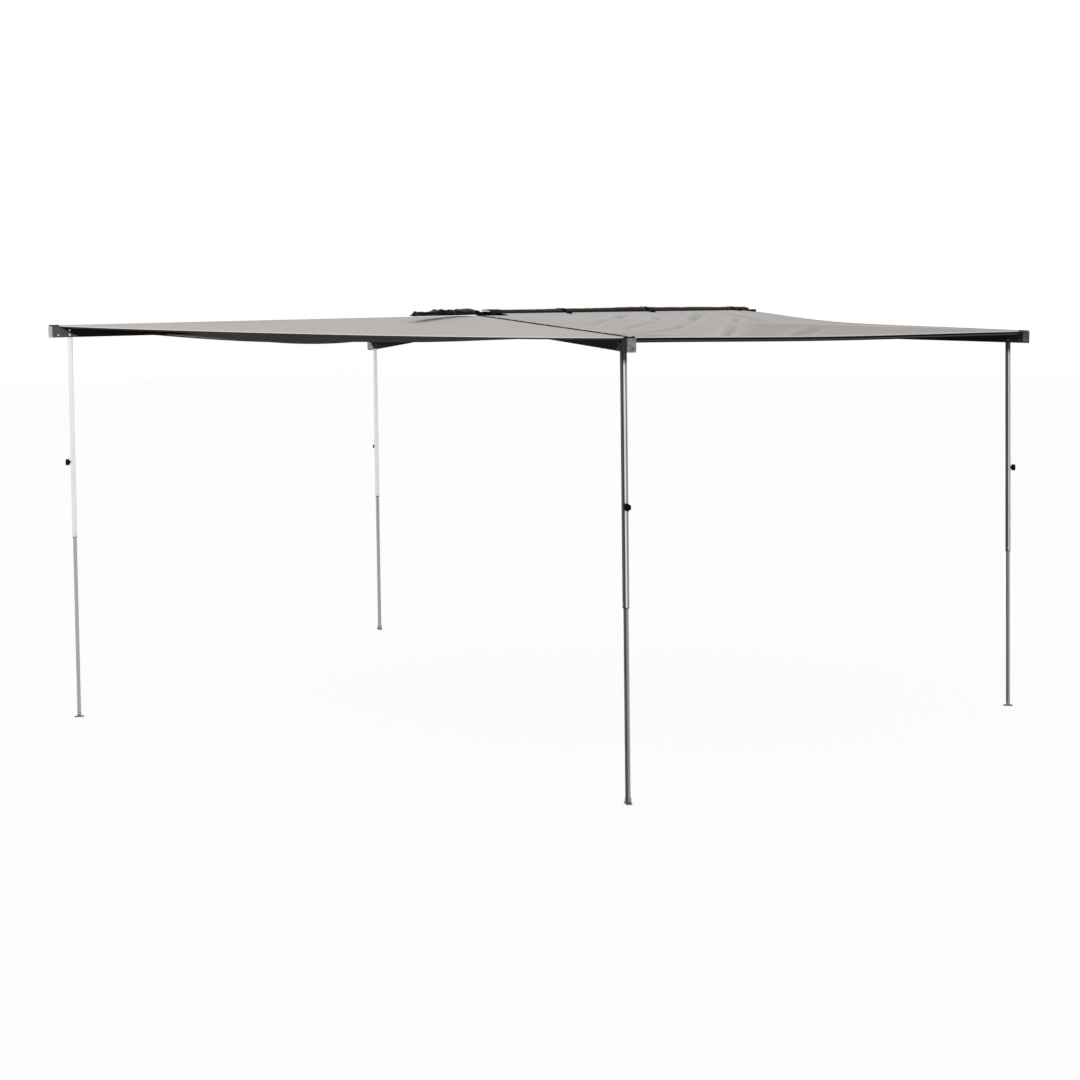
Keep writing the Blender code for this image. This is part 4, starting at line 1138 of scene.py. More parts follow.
class Canopy:
    """The grey cloth of one panel, its hanging hem, and its piping where it has one."""

    fewest_cloth_rows = 10
    trim_row_width = 0.003

    def __init__(self, panel: Panel, finishes: Finishes) -> None:
        """Keeps the panel's plan and the finishes."""
        self.panel = panel
        self.finishes = finishes

    def build(self) -> Piece:
        """Makes the panel's cloth and its trim.

        Returns:
            The cloth.
        """
        cloth = self.cloth()
        trims = [self.hem()]
        if self.panel.piped:
            trims.append(self.piping())
        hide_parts(f"canopy_{self.panel.name}")
        width, length, area = self.panel.cut
        return cloth

    def bend(self, piece: Piece, slot: Slot) -> Piece:
        """Lets a piece close with the fan.

        Puts each point for the moment at a place found from its share of the swing, then puts it
        back.

        Args:
            piece: A cloth or trim with its shares kept as the attribute "swing".
            slot: Not used.

        Returns:
            The same piece.
        """
        mesh = piece.data
        shares = [item.value for item in mesh.attributes["swing"].data]
        rest = [vertex.co.copy() for vertex in mesh.vertices]
        for vertex, share in zip(mesh.vertices, shares):
            vertex.co = (0.5 - math.sin(math.asin(max(-1.0, min(1.0, 1 - 2 * share))) / 3), 0, 0)
        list(self.panel.bodies)
        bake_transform(piece)
        for vertex, place in zip(mesh.vertices, rest):
            vertex.co = place
        mesh.update()
        return piece

    def strip(
        self, name: str, rows: int, place: Laying, share_of: Callable[[float], float]
    ) -> Piece:
        """Adds a strip over the panel's columns and keeps each point's share of the swing.

        Args:
            name: What the piece is called.
            rows: How many faces it has from its inner to its outer side.
            place: Gives a point's place from u and v.
            share_of: Gives how far out on the panel a point with that v lies.

        Returns:
            The new piece.
        """
        panel = self.panel
        shares: list[float] = []

        def laid(u: float, v: float) -> Vector:
            """Lays one point and keeps its share of the swing."""
            spot = place(u, v)
            shares.append(panel.swing(spot, u))
            return spot

        def plan(u: float, v: float) -> tuple[float, float]:
            """Returns the point's place on the flat cloth."""
            spot = panel.spot(u, share_of(v)) - panel.last.hub
            trim = rows < self.fewest_cloth_rows
            return spot.x, spot.y - (v * rows * self.trim_row_width if trim else 0.0)

        piece = Bench.strip(name, panel.columns + 2, rows, laid, plan)
        Bench.mark(piece, "swing", shares)
        return piece

    def cloth(self) -> Piece:
        """Makes the panel's cloth with its creases, painted shade and highlight kept in a "crease"
        attribute, and its underside in a dark cloth of painted shade.

        Returns:
            The cloth.
        """
        panel = self.panel
        lines = [[panel.between(*spot) for spot in crease.line] for crease in panel.creases]
        start, slope, strength = panel.painted_shade_zone
        marks: list[float] = []

        def laid(u: float, v: float) -> Vector:
            """Lays one point of the cloth.

            Args:
                u: Its share across.
                v: Its share outwards.

            Returns:
                Its place.
            """
            spot = panel.spot(u, v)
            loose = max(0.0, math.sin(math.pi * u)) ** 0.5 * min(1.0, v * 6)
            # painted shade: the cloth's far part, turned from the light, is marked darker
            mark = strength * eased(clamped((v - start - slope * u) / 0.10))
            for crease, points in zip(panel.creases, lines):
                drop = crease.drop(spot, points) * loose
                # each fold marks painted shade in its hollow and painted highlight on its brim
                mark += drop / crease.depth
                spot.z -= drop
            marks.append(mark)
            ripple = noise.noise(Vector((spot.x * 1.7, spot.y * 1.7, 0.3))) * panel.ripple
            spot.z += ripple * loose
            return spot

        piece = self.strip(f"canopy_cloth_{panel.name}", panel.rows, laid, lambda v: v)
        # the marks drive the canopy's painted shade and highlight
        Bench.mark(piece, "crease", marks)
        Bench.modifier(piece, "SOLIDIFY", thickness=panel.thickness, offset=1.0)
        piece.data.materials.append(self.finishes.canopy)
        piece.data.materials.append(self.finishes.shaded_underside)
        # faces that face down take the dark cloth: painted shade on the underside
        for face in piece.data.polygons:
            face.material_index = 0 if face.normal.z > 0 else 1
        Bench.smooth(piece, 50)
        area = sum(face.area for face in piece.data.polygons if face.normal.z > 0)
        log.info("canopy %s: %.3f square metres", panel.name, area)
        return self.bend(piece, Slot.CANOPY)

    def hem(self) -> Piece:
        """Makes the hem that hangs from the outer edge, in bands down its depth: a painted
        highlight at its top, black tape, and below them a painted reflection band on the front
        panel and a band of painted shade on the side and rear panels.

        Returns:
            The hem.
        """
        panel = self.panel
        depths = [0.0] + [depth for depth, _ in panel.hem]

        def laid(u: float, v: float) -> Vector:
            """Lays one point of the hem.

            Args:
                u: Its share across.
                v: Its share down.

            Returns:
                Its place.
            """
            row = round(v * (len(depths) - 1))
            edge = panel.spot(u, 1.0) + panel.outward(u) * panel.hem_out
            tilt = noise.noise(Vector((u * 9, 0.4, 2.1))) * panel.hem_tilt
            lift = panel.hem_thickness if row == 0 else 0.0
            beside = panel.outward(u) * depths[row] * tilt
            return edge + beside + Vector((0, 0, lift - depths[row]))

        piece = self.strip(f"canopy_hem_{panel.name}", len(depths) - 1, laid, lambda v: 1.0)
        # the bands' finishes: painted highlight, black tape, painted reflection, painted shade
        kinds = {"cloth": 0, "black": 1, "blue": 2, "shaded_underside": 3}
        look = self.finishes
        for material in (look.edge_highlight, look.tape, look.reflection_band, look.shaded_underside):
            piece.data.materials.append(material)
        columns = panel.columns + 2
        for number, face in enumerate(piece.data.polygons):
            row = min(len(panel.hem) - 1, number // columns)
            face.material_index = kinds[panel.hem[row][1]]
        Bench.modifier(piece, "SOLIDIFY", thickness=panel.hem_thickness, offset=0.0)
        Bench.smooth(piece, 50)
        return self.bend(piece, Slot.CANOPY)

    def piping(self) -> Piece:
        """Makes the black piping along the outer edge, a soft round cord in tape.

        Returns:
            The piping.
        """
        panel = self.panel
        radius = panel.piping_radius

        def laid(u: float, v: float) -> Vector:
            """Lays one point round the piping.

            Args:
                u: Its share across.
                v: Its share round.

            Returns:
                Its place.
            """
            turn = 2 * math.pi * v
            edge = panel.spot(u, 1.0) + panel.outward(u) * (panel.hem_out + radius)
            beside = panel.outward(u) * radius * math.cos(turn)
            return edge + beside + Vector((0, 0, radius * math.sin(turn)))

        piece = self.strip(f"canopy_piping_{panel.name}", 8, laid, lambda v: 1.0)
        Bench.modifier(piece, "WELD", merge_threshold=0.0002)
        Bench.outwards(piece)
        piece.data.materials.append(self.finishes.tape)
        Bench.smooth(piece, 80)
        return self.bend(piece, Slot.WEBBING)


@dataclass(frozen=True)
class CoverPlan:
    """The travel cover folded on the rail: where it lies and how high its folds stand."""

    rail: Rail
    start: float = 0.0475
    length: float = 2.7828
    least: float = 0.0145
    swell: float = 0.0115
    overhang: float = 0.0035
    plate_end: float = 0.150
    over_plate: float = 0.0095
    ramp_end: float = 0.016
    ramp_length: float = 0.014
    folds: int = 5
    flat_width: float = 0.330
    gap: float = 0.0003
    inset: float = 0.0005
    dent: float = 0.0030
    wander: float = 0.0022
    thickness: float = 0.0006
    columns: int = 150

    @property
    def low(self) -> float:
        """The level that the lowest fold lies on."""
        return self.rail.top + self.gap

    @property
    def middle(self) -> float:
        """The middle of the rail's top."""
        return self.rail.front + self.rail.depth / 2

    @property
    def half(self) -> float:
        """Half the width of the folded cover."""
        return self.rail.depth / 2 + self.overhang

    def floor(self, x: float) -> float:
        """Returns the level under the cover, raised where it passes over the hinge plate."""
        step = clamped((self.plate_end + self.ramp_end - x) / self.ramp_length)
        return self.low + self.over_plate * eased(step)

    def height(self, x: float) -> float:
        """Finds how high the folded cover stands.

        Args:
            x: The place along the rail.

        Returns:
            The height in metres, over the level under the cover.
        """
        ripple = 0.08 * math.sin(5.3 * x) + 0.07 * math.sin(9.1 * x + 0.6)
        swell = math.sin(math.pi * min(1.0, x / (1.15 * self.length)))
        ends = min(1.0, 0.88 + 9 * (self.start + self.length - x))
        stacked = self.least * (1 + ripple) + self.swell * swell
        return stacked * ends - 0.55 * (self.floor(x) - self.low)

    def crown(self, x: float, turn: float) -> tuple[float, float]:
        """Returns a point over the cover, from its far side at 0 to its near side at pi."""
        rise = 0.25 + 0.75 * max(0.0, math.sin(turn)) ** 0.7
        return self.middle + self.half * math.cos(turn), self.floor(x) + self.height(x) * rise

    def section(self, x: float) -> list[tuple[float, float]]:
        """Returns the folded cover's path at a place along the rail, from its lowest fold up.

        Args:
            x: The place along the rail.

        Returns:
            Points (y, level) of one cloth, folded to and fro and crowned at last.
        """
        path: list[tuple[float, float]] = []
        floor = self.floor(x)
        turns = [math.radians(10 + 160 * k / 9) for k in range(10)]
        for fold in range(self.folds):
            share = (fold + 0.5) / self.folds
            inward = 0.94 + 0.04 * math.sin(3.7 * fold + 4.0 * x)
            for turn in reversed(turns) if fold % 2 else turns:
                y, level = self.crown(x, turn)
                y = self.middle + (y - self.middle) * inward
                path.append((y, floor + 0.0006 + (level - floor - 0.001) * share))
        near = -1 if self.folds % 2 == 0 else 1
        edge = self.middle - near * self.half * 0.99
        path.append((edge, floor + self.height(x) * 0.30))
        path.append((edge, self.low + 0.0012))
        path.append((edge - near * 0.0006, self.low - 0.0042))
        return path


class TravelCover:
    """The black travel cover, folded to and fro along the top of the rail."""

    def __init__(self, plan: CoverPlan, finishes: Finishes) -> None:
        """Keeps the plan and the finishes."""
        self.plan = plan
        self.finishes = finishes

    def build(self) -> Piece:
        """Makes the folded cover.

        Returns:
            The cover.
        """
        plan = self.plan
        count = len(plan.section(plan.start)) - 1

        def laid(u: float, v: float) -> Vector:
            """Lays one point of the folded cloth.

            Args:
                u: Its share along the rail.
                v: Its share along the folds.

            Returns:
                Its place.
            """
            x = plan.start + plan.inset + (plan.length - 2 * plan.inset) * u
            y, level = plan.section(x)[round(v * count)]
            wander = abs(noise.noise(Vector((x * 9, v * 6, 1.7))))
            raised = max(0.0, level - plan.floor(x)) / max(0.006, plan.height(x))
            y -= wander * plan.wander
            return plan.rail.matrix @ Vector((x, y, level - wander * plan.dent * raised))

        piece = Bench.strip(
            "folded_travel_cover", plan.columns, count, laid,
            lambda u, v: (u * plan.length, v * plan.flat_width),
        )
        Bench.modifier(piece, "SOLIDIFY", thickness=plan.thickness, offset=0.0)
        piece.data.materials.append(self.finishes.cover)
        Bench.smooth(piece, 60)
        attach(piece, "rail_body")
        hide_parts("travel_cover")
        return piece


class ClothBelow:
    """The cloth under a piece, felt from straight above it in the rail's frame."""

    def __init__(
        self, under: Piece, rail: Rail, above: float, reach: float, otherwise: float
    ) -> None:
        """Reads the cloth's final shape.

        Args:
            under: The cloth.
            rail: The rail whose frame the places and levels are in.
            above: The level that it is felt from.
            reach: How far down it is felt for.
            otherwise: The level that is taken where there is no cloth.
        """
        self.tree = BVHTree.FromObject(under, bpy.context.evaluated_depsgraph_get())
        self.matrix = rail.matrix
        self.back = rail.matrix.inverted()
        self.above = above
        self.reach = reach
        self.otherwise = otherwise

    def level(self, x: float, y: float) -> float:
        """Finds the cloth's level.

        Args:
            x: The place along the rail.
            y: The place across it.

        Returns:
            The level in the rail's frame.
        """
        start = self.matrix @ Vector((x, y, self.above))
        hit = self.tree.ray_cast(start, Vector((0, 0, -1)), self.reach)[0]
        return self.otherwise if hit is None else (self.back @ hit).z


@dataclass(frozen=True)
class BunchPlan:
    """The cover's loose end: humps and dips down its length, its width and its path."""

    rail: Rail
    start: float = 0.0447
    length: float = 0.690
    behind: float = 0.049
    aside: float = 0.0325
    clear: tuple[float, float] = (0.0385, 0.0346)
    start_half: float = 0.021
    half: float = 0.062
    flat: tuple[float, float] = (0.300, 0.720)
    start_level: float = 0.0225
    no_cloth_level: float = 0.034
    lift: float = 0.0018
    fullness: float = 0.99
    mouth_from: float = 0.955
    thickness: float = 0.0006
    columns: int = 150
    rows: int = 56
    humps: Pairs = (
        (0.00, 0.018), (0.06, 0.022), (0.13, 0.031), (0.20, 0.037), (0.36, 0.038), (0.50, 0.037),
        (0.545, 0.021), (0.59, 0.034), (0.635, 0.0385), (0.68, 0.030), (0.73, 0.041),
        (0.79, 0.026), (0.87, 0.024), (0.94, 0.025), (0.972, 0.036), (0.990, 0.038), (1.00, 0.014),
    )

    def height(self, share: float) -> float:
        """Finds how high the bunch stands.

        Args:
            share: The share of its length.

        Returns:
            The height in metres.
        """
        for (near, low), (far, high) in zip(self.humps, self.humps[1:]):
            if share <= far:
                step = (share - near) / (far - near)
                return low + (high - low) * eased(step)
        return self.humps[-1][1]

    def centre(self, share: float) -> tuple[float, float]:
        """Finds the middle and half width of the bunch.

        Args:
            share: The share of its length.

        Returns:
            The middle's place across the rail, and half the width.
        """
        past = eased(clamped((share - 0.13) / 0.30))
        middle = self.behind * (1 - past) - self.aside * past
        grown = math.sin(math.pi * min(1.0, past * 0.75)) ** 0.8
        half = self.start_half + (self.half - self.start_half) * grown
        pinch = 1.0 - 0.35 * math.exp(-(((share - 0.53) / 0.03) ** 2))
        return middle, half * pinch * (1.0 - 0.45 * max(0.0, share - 0.9) / 0.1)


class CoverBunch:
    """The loose end of the travel cover, crumpled over the canopy behind the pivot."""

    def __init__(self, plan: BunchPlan, finishes: Finishes) -> None:
        """Keeps the plan and the finishes."""
        self.plan = plan
        self.finishes = finishes

    def build(self, under: Piece) -> Piece:
        """Makes the crumpled end, high enough over the canopy for the arms to pass below it.

        Args:
            under: The canopy's cloth below it.

        Returns:
            The crumpled piece.
        """
        plan = self.plan
        cloth = ClothBelow(under, plan.rail, 0.2, 0.6, plan.no_cloth_level)
        rests: dict[int, float] = {}

        def rest(share: float) -> float:
            """Finds the level under the middle of the bunch.

            Args:
                share: The share of its length.

            Returns:
                The level in the rail's frame.
            """
            key = round(share * plan.columns)
            if key not in rests:
                x = plan.start - plan.length * share
                middle, half = plan.centre(share)
                raised = min(1.0, share / 0.10)
                level = max(cloth.level(x, middle + k * half * 0.7) for k in (-1, 0, 1))
                near, far = plan.clear
                level = max(level + plan.lift, near + (far - near) * share)
                rests[key] = plan.start_level * (1 - raised) + level * raised
            return rests[key]

        def laid(u: float, v: float) -> Vector:
            """Lays one point of the cloth, wound once round and lapped underneath.

            Args:
                u: Its share along.
                v: Its share round.

            Returns:
                Its place.
            """
            x = plan.start - plan.length * u
            middle, half = plan.centre(u)
            turn = math.radians(-112 + 404 * v)
            lap = 1.0 + 0.05 * (v - 0.5)
            loose = min(1.0, u / 0.12)
            pleat = math.sin(5 * turn + 4 * noise.noise(Vector((u * 5, 0.2, 0.5)))) * 0.5 + 0.5
            crush = abs(noise.noise(Vector((u * 10, math.cos(turn) * 2.1, math.sin(turn) * 2.1))))
            twist = 0.35 * math.sin(9 * u + 0.7)
            narrowed = 1 - loose * (0.10 * pleat + 0.30 * crush)
            spread = math.cos(turn + twist * loose) * lap * narrowed
            rise = 0.5 + 0.5 * math.sin(turn)
            lowered = 1 - loose * (0.15 * pleat + 0.36 * crush)
            height = plan.fullness * plan.height(u) * lowered
            if u > plan.mouth_from:
                height *= 1 - 0.75 * min(1.0, abs(spread - 0.1) * 1.6)
            tucked = 0.0012 * (lap - 1.0) * 20 if rise < 0.1 else 0.0
            level = rest(u) + height * rise**0.85 * lap - tucked
            shift = noise.noise(Vector((x * 23, 5.1, turn))) * 0.006 * loose
            return plan.rail.matrix @ Vector((x + shift, middle + half * spread, level))

        piece = Bench.strip(
            "crumpled_cover_end", plan.columns, plan.rows, laid,
            lambda u, v: (u * plan.flat[1], v * plan.flat[0]),
        )
        Bench.modifier(piece, "SOLIDIFY", thickness=plan.thickness, offset=0.0)
        piece.data.materials.append(self.finishes.cover)
        Bench.smooth(piece, 60)
        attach(piece, "rail_body")
        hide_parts("travel_cover_end")
        return piece


@dataclass(frozen=True)
class StrapPlan:
    """The three tie straps round the cover, each with a buckle and a loop at its tail."""

    cover: CoverPlan
    places: tuple[float, ...] = (0.745, 1.612, 2.64)
    width: float = 0.025
    thickness: float = 0.0014
    clearance: float = 0.0005
    tail: float = 0.0750
    skew: float = -0.85
    buckle: tuple[float, float, float] = (0.034, 0.020, 0.0055)
    buckle_inset: float = 0.0050
    buckle_lift: float = 0.0012
    loop_length: float = 0.042
    loop_height: float = 0.018
    loop_width: float = 0.8
    flat_length: float = 0.26
    no_cloth_level: float = 0.042


class TieStraps:
    """The webbing straps that hold the folded cover, their buckles and tail loops."""

    def __init__(self, plan: StrapPlan, finishes: Finishes) -> None:
        """Keeps the plan and the finishes."""
        self.plan = plan
        self.finishes = finishes

    def build(self, under: Piece) -> list[Piece]:
        """Makes the straps and buckles.

        Args:
            under: The canopy's cloth in front of the rail, which the tails lie on.

        Returns:
            The new pieces.
        """
        plan = self.plan
        rail = plan.cover.rail
        cloth = ClothBelow(under, rail, 0.3, 1.0, plan.no_cloth_level)
        pattern = self.buckle()
        made = []
        for number, place in enumerate(plan.places, 1):
            strap = self.strap(place, cloth, f"webbing_strap_{number}")
            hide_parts(f"tie_strap_{number}")
            front = -plan.buckle_inset - plan.tail
            across = place + plan.skew * plan.tail
            level = cloth.level(across, front) + plan.buckle_lift
            seat = rail.matrix @ Matrix.Translation((across, front, level))
            seat @= Matrix.Rotation(math.atan(plan.skew), 4, "Z")
            buckle = Bench.stamp(pattern, f"ladder_buckle_{number}", [seat])
            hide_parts(f"strap_buckle_{number}")
            for piece in (strap, buckle):
                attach(piece, "rail_body")
                made.append(piece)
        Bench.discard(pattern)
        return made

    def strap(self, place: float, cloth: ClothBelow, name: str) -> Piece:
        """Makes one strap: up behind the cover, over it, down in front and out to its loop.

        Args:
            place: Where it crosses the rail.
            cloth: The canopy's cloth that its tail lies on.
            name: What the piece is called.

        Returns:
            The strap.
        """
        plan = self.plan
        cover = plan.cover
        gap = plan.clearance + plan.thickness / 2
        path: list[tuple[float, float]] = [(cover.middle + cover.half + gap, cover.low + 0.001)]
        for k in range(15):
            y, height = cover.crown(place, math.radians(12 + 156 * k / 14))
            height = cover.low + (height - cover.low) * 0.93
            path.append((y + math.copysign(gap * 0.8, y - cover.middle), height + gap))
        near = cover.middle - cover.half - gap
        path.append((near, cover.low + 0.001))
        for k in range(1, 7):
            y = near - plan.tail * k / 6
            arch = 0.004 * math.sin(math.pi * k / 6)
            path.append((y, cloth.level(place + plan.skew * (near - y), y) + gap + arch))
        loop_start = len(path) - 1
        end = near - plan.tail - plan.buckle[1] * 0.6
        for k in range(13):
            turn = math.radians(-100 + 360 * k / 12)
            wide = 0.5 * plan.loop_length * (1 + math.sin(turn))
            fullness = math.sin(math.pi * min(1, k / 12 + 0.12)) ** 0.3
            rise = 0.5 * plan.loop_height * (1 - math.cos(turn)) * fullness
            across = place + plan.skew * (near - end + wide)
            path.append((end - wide, cloth.level(across, end - wide) + gap + rise))
        count = len(path) - 1

        def laid(u: float, v: float) -> Vector:
            """Lays one point of the strap.

            Args:
                u: Its share across.
                v: Its share along.

            Returns:
                Its place.
            """
            y, height = path[round(v * count)]
            skew = max(0.0, near - y) * plan.skew
            share = plan.loop_width if v * count > loop_start else 1.0
            x = place + (u - 0.5) * plan.width * share + skew
            return cover.rail.matrix @ Vector((x, y, height))

        piece = Bench.strip(
            name, 4, count, laid, lambda u, v: (u * plan.width, v * plan.flat_length)
        )
        Bench.modifier(piece, "SOLIDIFY", thickness=plan.thickness, offset=0.0)
        piece.data.materials.append(self.finishes.webbing)
        return Bench.smooth(piece, 50)

    def buckle(self) -> Piece:
        """Makes a ladder buckle about its own middle: a frame with two windows and three bars.

        Returns:
            The pattern.
        """
        wide, long, thick = self.plan.buckle

        def window(face: bpy.types.MeshPolygon) -> bool:
            """Says whether a face is one of the two windows."""
            x, y, _ = face.center
            return abs(x) < 0.1 * wide and 0.15 * long < abs(y) < 0.3 * long

        Bench.clear()
        bpy.ops.mesh.primitive_grid_add(x_subdivisions=3, y_subdivisions=5, size=1.0)
        piece = bpy.context.object
        xs = {0: -0.5, 1: -0.38, 2: 0.38, 3: 0.5}
        ys = {0: -0.5, 1: -0.34, 2: -0.10, 3: 0.10, 4: 0.34, 5: 0.5}
        for vertex in piece.data.vertices:
            column, row = round((vertex.co.x + 0.5) * 3), round((vertex.co.y + 0.5) * 5)
            vertex.co = (xs[column] * wide, ys[row] * long, 0)
        Bench.faces(piece, window, lambda: bpy.ops.mesh.delete(type="FACE"))
        Bench.faces(piece, lambda face: True, Bench.extrude(0, 0, thick))
        Bench.outwards(piece)
        Bench.modifier(piece, "BEVEL", width=0.0007, segments=2)
        piece.data.materials.append(self.finishes.plastic)
        return Bench.smooth(piece)


class Fasteners:
    """The patterns of the small hardware, each modelled once at the origin, its head upwards."""

    def __init__(self, finishes: Finishes) -> None:
        """Models the patterns.

        Args:
            finishes: The finishes.
        """
        self.finishes = finishes
        self.bolt = self.socket_bolt("bolt_pattern", 0.0046, 0.0036)
        # painted shade: the darker bolt for the arms painted as shaded
        self.shaded_bolt = self.socket_bolt("dull_bolt_pattern", 0.0046, 0.0032)
        self.shaded_bolt.material_slots[0].material = finishes.shaded_zinc
        self.screw = self.socket_bolt("screw_pattern", 0.0048, 0.0028)
        self.rivet = self.blind_rivet("rivet_pattern", 0.0034, 0.0015)
        self.clamp = self.corner_clamp()

    def socket_bolt(self, name: str, radius: float, height: float) -> Piece:
        """Returns a round-headed bolt's head with its socket, on a thin washer.

        Args:
            name: What the pattern is called.
            radius: The head's radius.
            height: The head's height above its washer.

        Returns:
            The pattern.
        """
        head = Bench.post(name, radius, 0.0006, height)
        Bench.faces(head, Bench.top(head), Bench.round(height * 0.55, 3))
        Bench.faces(
            head, Bench.top(head), Bench.inset(radius * 0.12), Bench.extrude(0, 0, -height * 0.45)
        )
        washer = Bench.post(name + "_washer", radius * 1.22, 0.0, 0.0008)
        Bench.faces(washer, Bench.top(washer), Bench.round(0.0003))
        Bench.join([head, washer])
        head.data.materials.append(self.finishes.zinc)
        return Bench.smooth(head)

    def blind_rivet(self, name: str, radius: float, height: float) -> Piece:
        """Returns a blind rivet's domed head with the pit of its mandrel.

        Args:
            name: What the pattern is called.
            radius: The head's radius.
            height: The head's height.

        Returns:
            The pattern.
        """
        head = Bench.post(name, radius, 0.0, height, 16)
        Bench.faces(head, Bench.top(head), Bench.round(height * 0.7, 3))
        Bench.faces(
            head, Bench.top(head), Bench.inset(radius * 0.18), Bench.extrude(0, 0, -height * 0.4)
        )
        head.data.materials.append(self.finishes.zinc)
        return Bench.smooth(head)

    def corner_clamp(self) -> Piece:
        """Makes the plastic clamp that holds the canopy's corner to an arm, its middle at X = 0.

        Returns:
            The pattern.
        """
        clamp = Bench.box("clamp_pattern", (-0.027, -0.0175, 0), (0.027, 0.0175, 0.0062))
        Bench.faces(clamp, lambda face: abs(face.normal.z) < 0.1, Bench.round(0.0025, 3))
        Bench.faces(
            clamp, Bench.top(clamp), Bench.inset(0.0035), Bench.extrude(0, 0, -0.0016),
            Bench.inset(0.0015),
        )
        Bench.modifier(clamp, "BEVEL", width=0.0004, segments=1, limit_method="ANGLE")
        clamp.data.materials.append(self.finishes.plastic)
        return Bench.smooth(clamp)

    def discard(self) -> None:
        """Removes the patterns."""
        Bench.discard(self.bolt, self.shaded_bolt, self.screw, self.rivet, self.clamp)


@dataclass(frozen=True)
class Spot:
    """Where a fastener sits on an arm: along it, beside its middle, its level and its facing."""

    along: float
    beside: float
    level: float
    facing: str = "up"

    def matrix(self) -> Matrix:
        """Turns the place into a matrix.

        Returns:
            The turn and place in the arm's own frame.
        """
        turns = {
            "up": Matrix.Identity(4),
            "left": Matrix.Rotation(-math.pi / 2, 4, "X"),
            "right": Matrix.Rotation(math.pi / 2, 4, "X"),
            "out": Matrix.Rotation(math.pi / 2, 4, "Y"),
        }
        return Matrix.Translation((self.along, self.beside, self.level)) @ turns[self.facing]


@dataclass(frozen=True)
class Fixings:
    """Where the small hardware sits: on an arm, on the rail and on a leg, each in its frame."""

    bracket_side: float = 0.0200
    bracket_bolts: Pairs = ((0.0, 0.008), (0.060, -0.019))
    root_side: float = 0.0170
    root_alongs: tuple[float, float] = (0.028, 0.068)
    root_levels: tuple[float, float] = (0.016, -0.010)
    clamp_inset: float = 0.0300
    clamp_gap: float = 0.0003
    clamp_screws: tuple[float, float] = (-0.014, 0.014)
    clamp_screw_level: float = 0.0049
    rivets: int = 9
    rivet_ends: tuple[float, float] = (0.05, 0.04)
    cloth: float = 0.0010
    over_tape: float = 0.0012
    tape_middle: float = 0.0006
    tape_thickness: float = 0.0009
    plate_screws: Pairs = ((0.066, 0.020), (0.066, 0.048), (0.128, 0.020), (0.128, 0.048))
    plate_level: float = 0.0546
    end_screws: tuple[float, float] = (0.022, 0.046)
    end_screw_level: float = 0.0328
    bead_radius: float = 0.0034
    tube_half: float = 0.0130
    guide_level: float = 0.014
    knob_face: float = 0.0385
    knob_cap: tuple[float, float] = (0.0072, 0.0011)


FIXINGS = Fixings()


class Hardware:
    """Small pieces that are fixed to an arm, to the rail or to a leg."""

    def __init__(self, plan: Arm | Rail, fasteners: Fasteners, finishes: Finishes) -> None:
        """Keeps what the pieces are made by.

        Args:
            plan: The plan of the rail or the arm; a leg goes by its arm's.
            fasteners: The patterns.
            finishes: The finishes.
        """
        self.plan = plan
        self.fasteners = fasteners
        self.finishes = finishes


